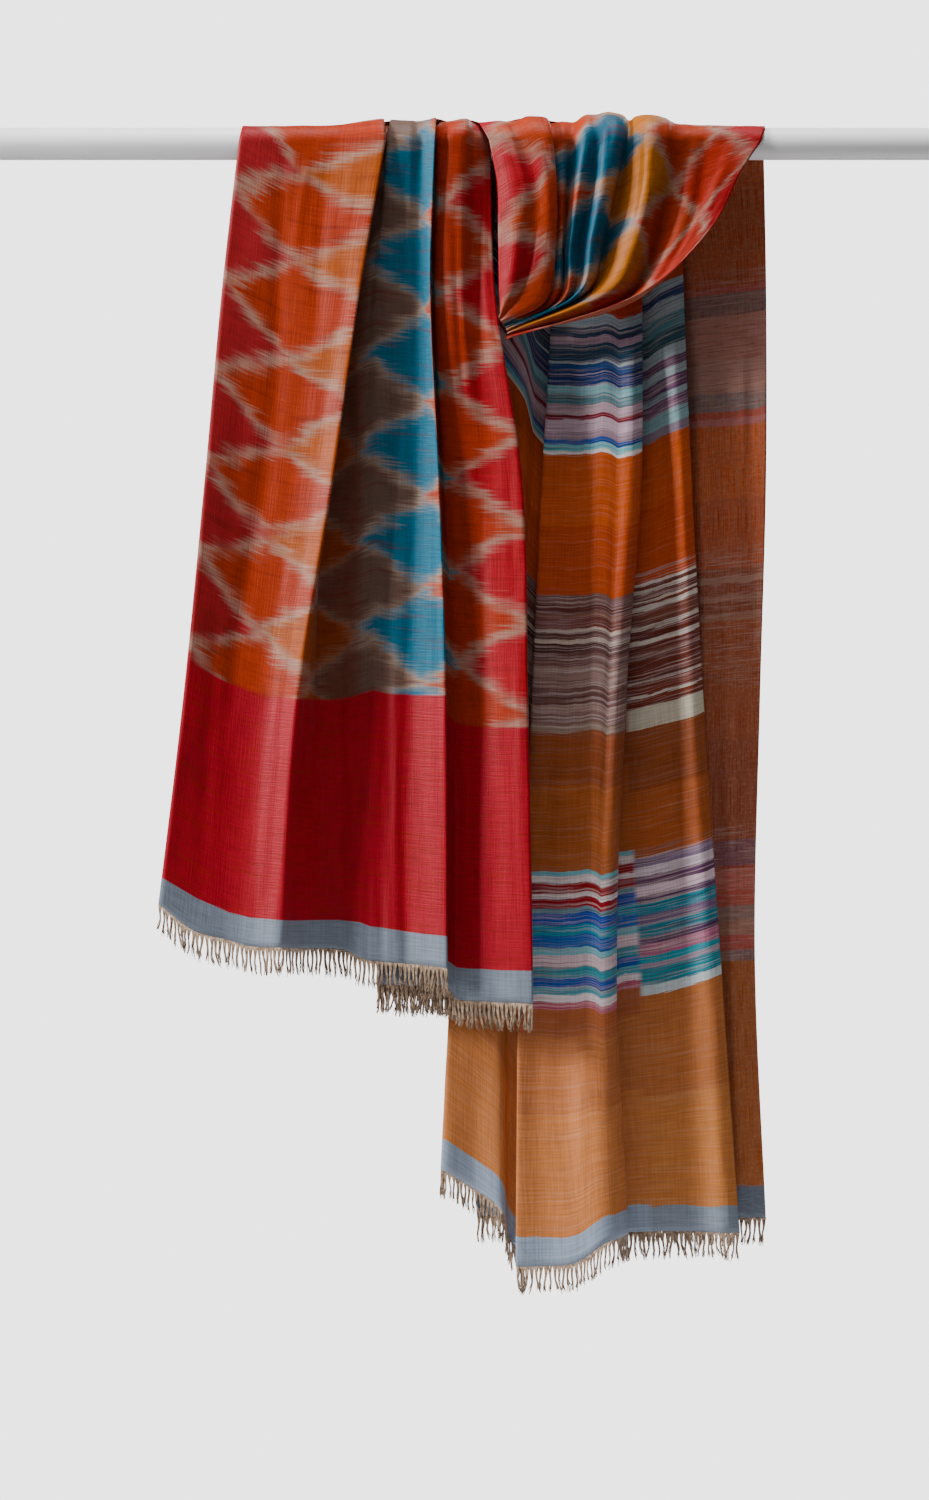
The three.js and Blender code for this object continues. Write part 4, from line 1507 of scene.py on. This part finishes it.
@dataclass
class Fringe:
    """The warp's own ends below a hem, in bunches that splay a little.

    Attributes:
        node: Name of the solid that it replaces.
        seed: Seed of its random numbers.
        pitch: Distance between bunches, in millimetres.
        yarns: Number of yarns in a bunch.
        length: Length of a yarn, in millimetres.
        uneven: Unevenness of the yarns' lengths, as a share.
        bunch_uneven: Unevenness of the bunches' lengths, as a share.
        shortest: Least length of a yarn, in millimetres.
        longest: Greatest length of a yarn, in millimetres.
        width: Width of a bunch's roots, as a share of the pitch.
        stray: How far a root strays along the hem, in millimetres.
        inset: Least distance of a root from the hem's ends, in millimetres.
        lean: How far a bunch leans along the hem and out of the cloth, in millimetres.
        likeness: How much a bunch leans as its neighbour does, as a share.
        splay: How far a yarn's tip splays along the hem and out of the cloth, in millimetres.
        gather: How much a bunch draws together half way down, as a share.
        radius: Radius of a yarn at its root, in millimetres.
        taper: Radius at the tip, as a share of the radius at the root.
        wave: How far a bunch swings from side to side on its way down, in millimetres.
        swings: Number of half swings on the way down.
        rings: Number of rings along a yarn.
        sides: Number of a yarn's sides.
    """

    node: str
    seed: int
    pitch: float = 4.6
    yarns: int = 10
    length: float = 24.0
    uneven: float = 0.1
    bunch_uneven: float = 0.06
    shortest: float = 14.0
    longest: float = 29.0
    width: float = 0.92
    stray: float = 0.25
    inset: float = 0.3
    lean: tuple[float, float] = (2.2, 1.1)
    likeness: float = 0.4
    splay: tuple[float, float] = (0.8, 0.56)
    gather: float = 0.45
    radius: float = 0.7
    taper: float = 0.6
    wave: float = 1.3
    swings: float = 1.8
    rings: int = 7
    sides: int = 3

    def yarn_paths(self, hem: np.ndarray) -> np.ndarray:
        """Lays each yarn's middle line from the hem down.

        Args:
            hem: Points along the hem, one a row, in millimetres.

        Returns:
            The points, yarns by rings by three, in millimetres.
        """
        reach = np.concatenate(([0], np.cumsum(np.linalg.norm(np.diff(hem, axis=0), axis=1))))
        random = np.random.default_rng(self.seed)
        bunches = int(reach[-1] / self.pitch)
        middles = (np.arange(bunches) + 0.5) * reach[-1] / bunches
        lean = random.normal(0, 1, (bunches, 2))
        lean = (1 - self.likeness) * lean + self.likeness * np.roll(lean, 1, axis=0)
        grid = (bunches, self.yarns)
        half = self.width / 2
        root = middles[:, None] + np.linspace(-half, half, self.yarns) * self.pitch
        root = root + random.normal(0, self.stray, grid)
        root = np.clip(root, self.inset, reach[-1] - self.inset)
        start = np.stack([np.interp(root, reach, hem[:, k]) for k in range(3)], axis=-1)
        centre = np.stack([np.interp(middles, reach, hem[:, k]) for k in range(3)], axis=-1)[:, None]
        run = np.gradient(hem, axis=0)
        along = np.stack([np.interp(middles, reach, run[:, k]) for k in range(3)], axis=-1)
        along[:, 2] = 0
        along /= np.maximum(np.linalg.norm(along, axis=1, keepdims=True), 1e-6)
        outward = np.column_stack((along[:, 1], -along[:, 0], np.zeros(bunches)))
        length = self.length * (1 + random.normal(0, self.uneven, grid))
        length = length * (1 + self.bunch_uneven * lean[:, :1])
        aside, out = (self.lean[k] * lean[:, k : k + 1] for k in range(2))
        tip = centre + (aside * along)[:, None] + (out * outward)[:, None]
        spread = random.normal(0, 1, (*grid, 2)) * self.splay
        tip = tip + spread[..., :1] * along[:, None] + spread[..., 1:] * outward[:, None]
        tip[..., 2] = start[..., 2] - np.clip(length, self.shortest, self.longest)
        share = np.linspace(0, 1, self.rings)[:, None]
        drawn = np.sin(np.linspace(0, math.pi, self.rings))[:, None] * self.gather
        path = start[..., None, :] * (1 - share) + tip[..., None, :] * share
        path = path + drawn * (centre[..., None, :] - path) * np.array((1, 1, 0))
        turn = random.uniform(0, 2 * math.pi, (bunches, 1, 1, 1))
        swing = self.wave * share * np.sin(self.swings * math.pi * share + turn)
        path = path + swing * along[:, None, None]
        return path.reshape(-1, self.rings, 3)

    def make_piece(self, name: str, sheet: ClothSheet, finish: bpy.types.Material) -> bpy.types.Object:
        """Makes the fringe below a sheet's hem.

        Args:
            name: Name of the piece.
            sheet: The sheet that it hangs from.
            finish: Material of the yarn.

        Returns:
            The piece, riding on the part's body and standing for its solid.
        """
        path = self.yarn_paths(sheet.points[-1])
        turn = np.arange(self.sides) * 2 * math.pi / self.sides
        ring = np.column_stack((np.cos(turn), np.sin(turn), np.zeros(self.sides)))
        width = self.radius * np.linspace(1, self.taper, self.rings)[:, None, None]
        points = path[:, :, None, :] + width * ring
        count = len(points)
        index = np.arange(count * self.rings * self.sides).reshape(count, self.rings, self.sides)
        right = np.roll(index, -1, axis=2)
        corners = (index[:, 1:], right[:, 1:], right[:, :-1], index[:, :-1])
        walls = np.stack(corners, axis=-1).reshape(-1, 4).tolist()
        tips = index[:, -1, ::-1].tolist()
        roots = index[:, 0].tolist()
        mesh = bpy.data.meshes.new(name)
        mesh.from_pydata((points.reshape(-1, 3) * MM).tolist(), [], walls + tips + roots)
        mesh.polygons.foreach_set("use_smooth", np.ones(len(mesh.polygons), bool))
        mesh.materials.append(finish)
        piece = bpy.data.objects.new(name, mesh)
        bpy.context.scene.collection.objects.link(piece)
        LOG.info("%s: %d yarns", name, count)
        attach(piece, "root")
        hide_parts(self.node)
        return piece


@dataclass
class Shawl:
    """The whole shawl, in the stretches that show.

    Attributes:
        pieces: Each stretch's piece by the name of its node.
    """

    pieces: dict[str, bpy.types.Object] = field(default_factory=dict)

    def build(self) -> None:
        ikat = (
            IkatTwill("ikat_twill_face", False).material,
            IkatTwill("ikat_twill_reverse", True).material,
        )
        fold = (
            StripedTwill("striped_twill_face", False, False).material,
            StripedTwill("striped_twill_reverse", True, False).material,
        )
        back = (
            StripedTwill("striped_twill_right_face", False, True).material,
            StripedTwill("striped_twill_right_reverse", True, True).material,
        )
        yarn = WarpYarn().material
        front_fall = FrontFall(
            node="front_fall",
            cut=(0.5, 0.86),
            hold=Hold.DRAPED,
            between=8,
            steps=170,
            creases=FRONT_CREASES,
        )
        swag = Swag(
            node="swag",
            cut=(0.4, 0.2),
            hold=Hold.GATHERED,
            between=9,
            steps=120,
            creases=SWAG_CREASES,
        )
        front_tail = HangingStretch(
            node="front_tail",
            cut=(0.3, 0.64),
            hold=Hold.FOLDED,
            between=8,
            steps=110,
            creases=TAIL_CREASES,
            folds=TAIL_FOLDS,
            levels=TAIL_LEVELS,
            rests_on=("swag",),
        )
        back_fold = HangingStretch(
            node="back_fold",
            cut=(0.34, 1.06),
            hold=Hold.FOLDED,
            between=10,
            steps=190,
            flip=True,
            creases=FOLD_CREASES,
            folds=BACK_FOLD_FOLDS,
            levels=FOLD_LEVELS,
            rests_on=("back_fall",),
            weft_rise=FOLD_WEFT_RISE,
        )
        back_fall = BackFall(
            node="back_fall",
            cut=(0.52, 1.11),
            hold=Hold.DRAPED,
            between=7,
            steps=160,
            creases=BACK_CREASES,
            weft_rise=BACK_WEFT_RISE,
            hem_tie=900.0,
        )
        stretches = (
            (front_fall, ikat, "ikat_cloth", "front_fringe"),
            (swag, ikat, "ikat_cloth", None),
            (front_tail, ikat, "ikat_cloth", "tail_fringe"),
            (back_fold, fold, "striped_cloth", "fold_fringe"),
            (back_fall, back, "striped_cloth", "back_fringe"),
        )
        for number, (stretch, finishes, slot, fringe_node) in enumerate(stretches):
            piece = stretch.make_piece(stretch.node + "_cloth", finishes)
            self.pieces[stretch.node] = piece
            if fringe_node:
                fringe = Fringe(fringe_node, 100 + number)
                fringe.make_piece(fringe_node + "_yarn", stretch.sheet, yarn)


@dataclass(frozen=True)
class Lamp:
    """A soft square lamp.

    Attributes:
        name: Its name.
        place: Where it stands, in metres.
        target: Where it points, in metres.
        size: Length of its side, in metres.
        power: Its power, in watts.
    """

    name: str
    place: tuple[float, float, float]
    target: tuple[float, float, float]
    size: float
    power: float


LAMPS = (
    Lamp(name="key", place=(-5.95, -1.65, 1.9), target=(0, 0, -0.5), size=1.8, power=930),
    Lamp(name="top", place=(0, -0.5, 2.4), target=(0, 0, 0), size=1.2, power=95),
    Lamp(name="rear", place=(1.6, 2.6, 1.2), target=(0, 0, -0.6), size=1.6, power=45),
)


@dataclass
class Studio:
    """A pale floor and backdrop, soft light and the camera at the photograph's angle.

    Attributes:
        distance: Distance of the camera from the board, in metres.
        sensor: Width of the camera's sensor, in millimetres.
        floor_drop: Depth of the floor below the rail, in metres.
        floor_radius: Radius of the floor, in metres.
        backdrop_radius: Radius of the backdrop, in metres.
        background: Colour of the floor, the backdrop and the sky.
        backdrop_glow: Strength of the backdrop's own light.
        sky_glow: Strength of the light from all round.
    """

    distance: float = 4.5
    sensor: float = 36.0
    floor_drop: float = 1.62
    floor_radius: float = 1.2
    backdrop_radius: float = 16.0
    background: str = "#fffcfe"
    backdrop_glow: float = 3.25
    sky_glow: float = 0.13

    def aim(self, thing: bpy.types.Object, target: tuple[float, float, float]) -> None:
        """Turns a camera or a light towards a point."""
        thing.rotation_euler = (Vector(target) - thing.location).to_track_quat("-Z", "Y").to_euler()

    def add_camera(self) -> None:
        """Adds the camera, square to the board and centred on it."""
        data = bpy.data.cameras.new("camera")
        data.sensor_width = self.sensor
        data.lens = self.sensor * self.distance / (BOARD_HEIGHT * MM)
        camera = bpy.data.objects.new("camera", data)
        height = (RAIL_LEVEL - BOARD_HEIGHT / 2) * MM
        middle = (BOARD_LEFT + BOARD_WIDTH / 2) * MM
        camera.location = (middle, -self.distance, height)
        self.aim(camera, (middle, 0, height))
        bpy.context.scene.collection.objects.link(camera)
        bpy.context.scene.camera = camera

    def add_lamp(self, lamp: Lamp) -> None:
        """Adds a lamp.

        Args:
            lamp: The lamp's place and power.
        """
        data = bpy.data.lights.new(lamp.name, "AREA")
        data.size = lamp.size
        data.energy = lamp.power
        light = bpy.data.objects.new(lamp.name, data)
        light.location = lamp.place
        self.aim(light, lamp.target)
        bpy.context.scene.collection.objects.link(light)

    def add_floor(self) -> None:
        """Adds a pale round floor below the view."""
        bpy.ops.object.select_all(action="DESELECT")
        bpy.ops.mesh.primitive_cylinder_add(
            vertices=96, radius=self.floor_radius, depth=0.02, location=(0, 0, -self.floor_drop)
        )
        floor = bpy.context.object
        floor.name = "floor"
        finish = Finish("pale_floor")
        finish.surface.inputs["Base Color"].default_value = linear_colour(self.background)
        finish.surface.inputs["Roughness"].default_value = 0.9
        floor.data.materials.append(finish.material)

    def add_backdrop(self) -> None:
        """Adds a bright seamless backdrop all round, which is seen but doesn't light the shawl."""
        bpy.ops.object.select_all(action="DESELECT")
        bpy.ops.mesh.primitive_uv_sphere_add(
            segments=64, ring_count=32, radius=self.backdrop_radius
        )
        backdrop = bpy.context.object
        backdrop.name = "backdrop"
        backdrop.visible_diffuse = False
        backdrop.visible_glossy = False
        backdrop.visible_shadow = False
        finish = Finish("seamless_backdrop")
        finish.surface.inputs["Base Color"].default_value = (0, 0, 0, 1)
        finish.surface.inputs["Specular IOR Level"].default_value = 0
        finish.surface.inputs["Emission Color"].default_value = linear_colour(self.background)
        finish.surface.inputs["Emission Strength"].default_value = self.backdrop_glow
        backdrop.data.materials.append(finish.material)

    def build(self) -> None:
        """Builds the studio."""
        self.add_camera()
        self.add_floor()
        self.add_backdrop()
        world = bpy.data.worlds.new("studio")
        world.use_nodes = True
        sky = world.node_tree.nodes["Background"]
        sky.inputs[0].default_value = linear_colour(self.background)
        sky.inputs[1].default_value = self.sky_glow
        bpy.context.scene.world = world
        for lamp in LAMPS:
            self.add_lamp(lamp)


def main() -> None:
    """Builds the dressed shawl around the frame."""
    logging.basicConfig(level=logging.INFO, format="%(message)s")
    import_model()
    Studio().build()
    Rail().make_piece(WhiteEnamel().material)
    Shawl().build()


if __name__ == "__main__":
    main()
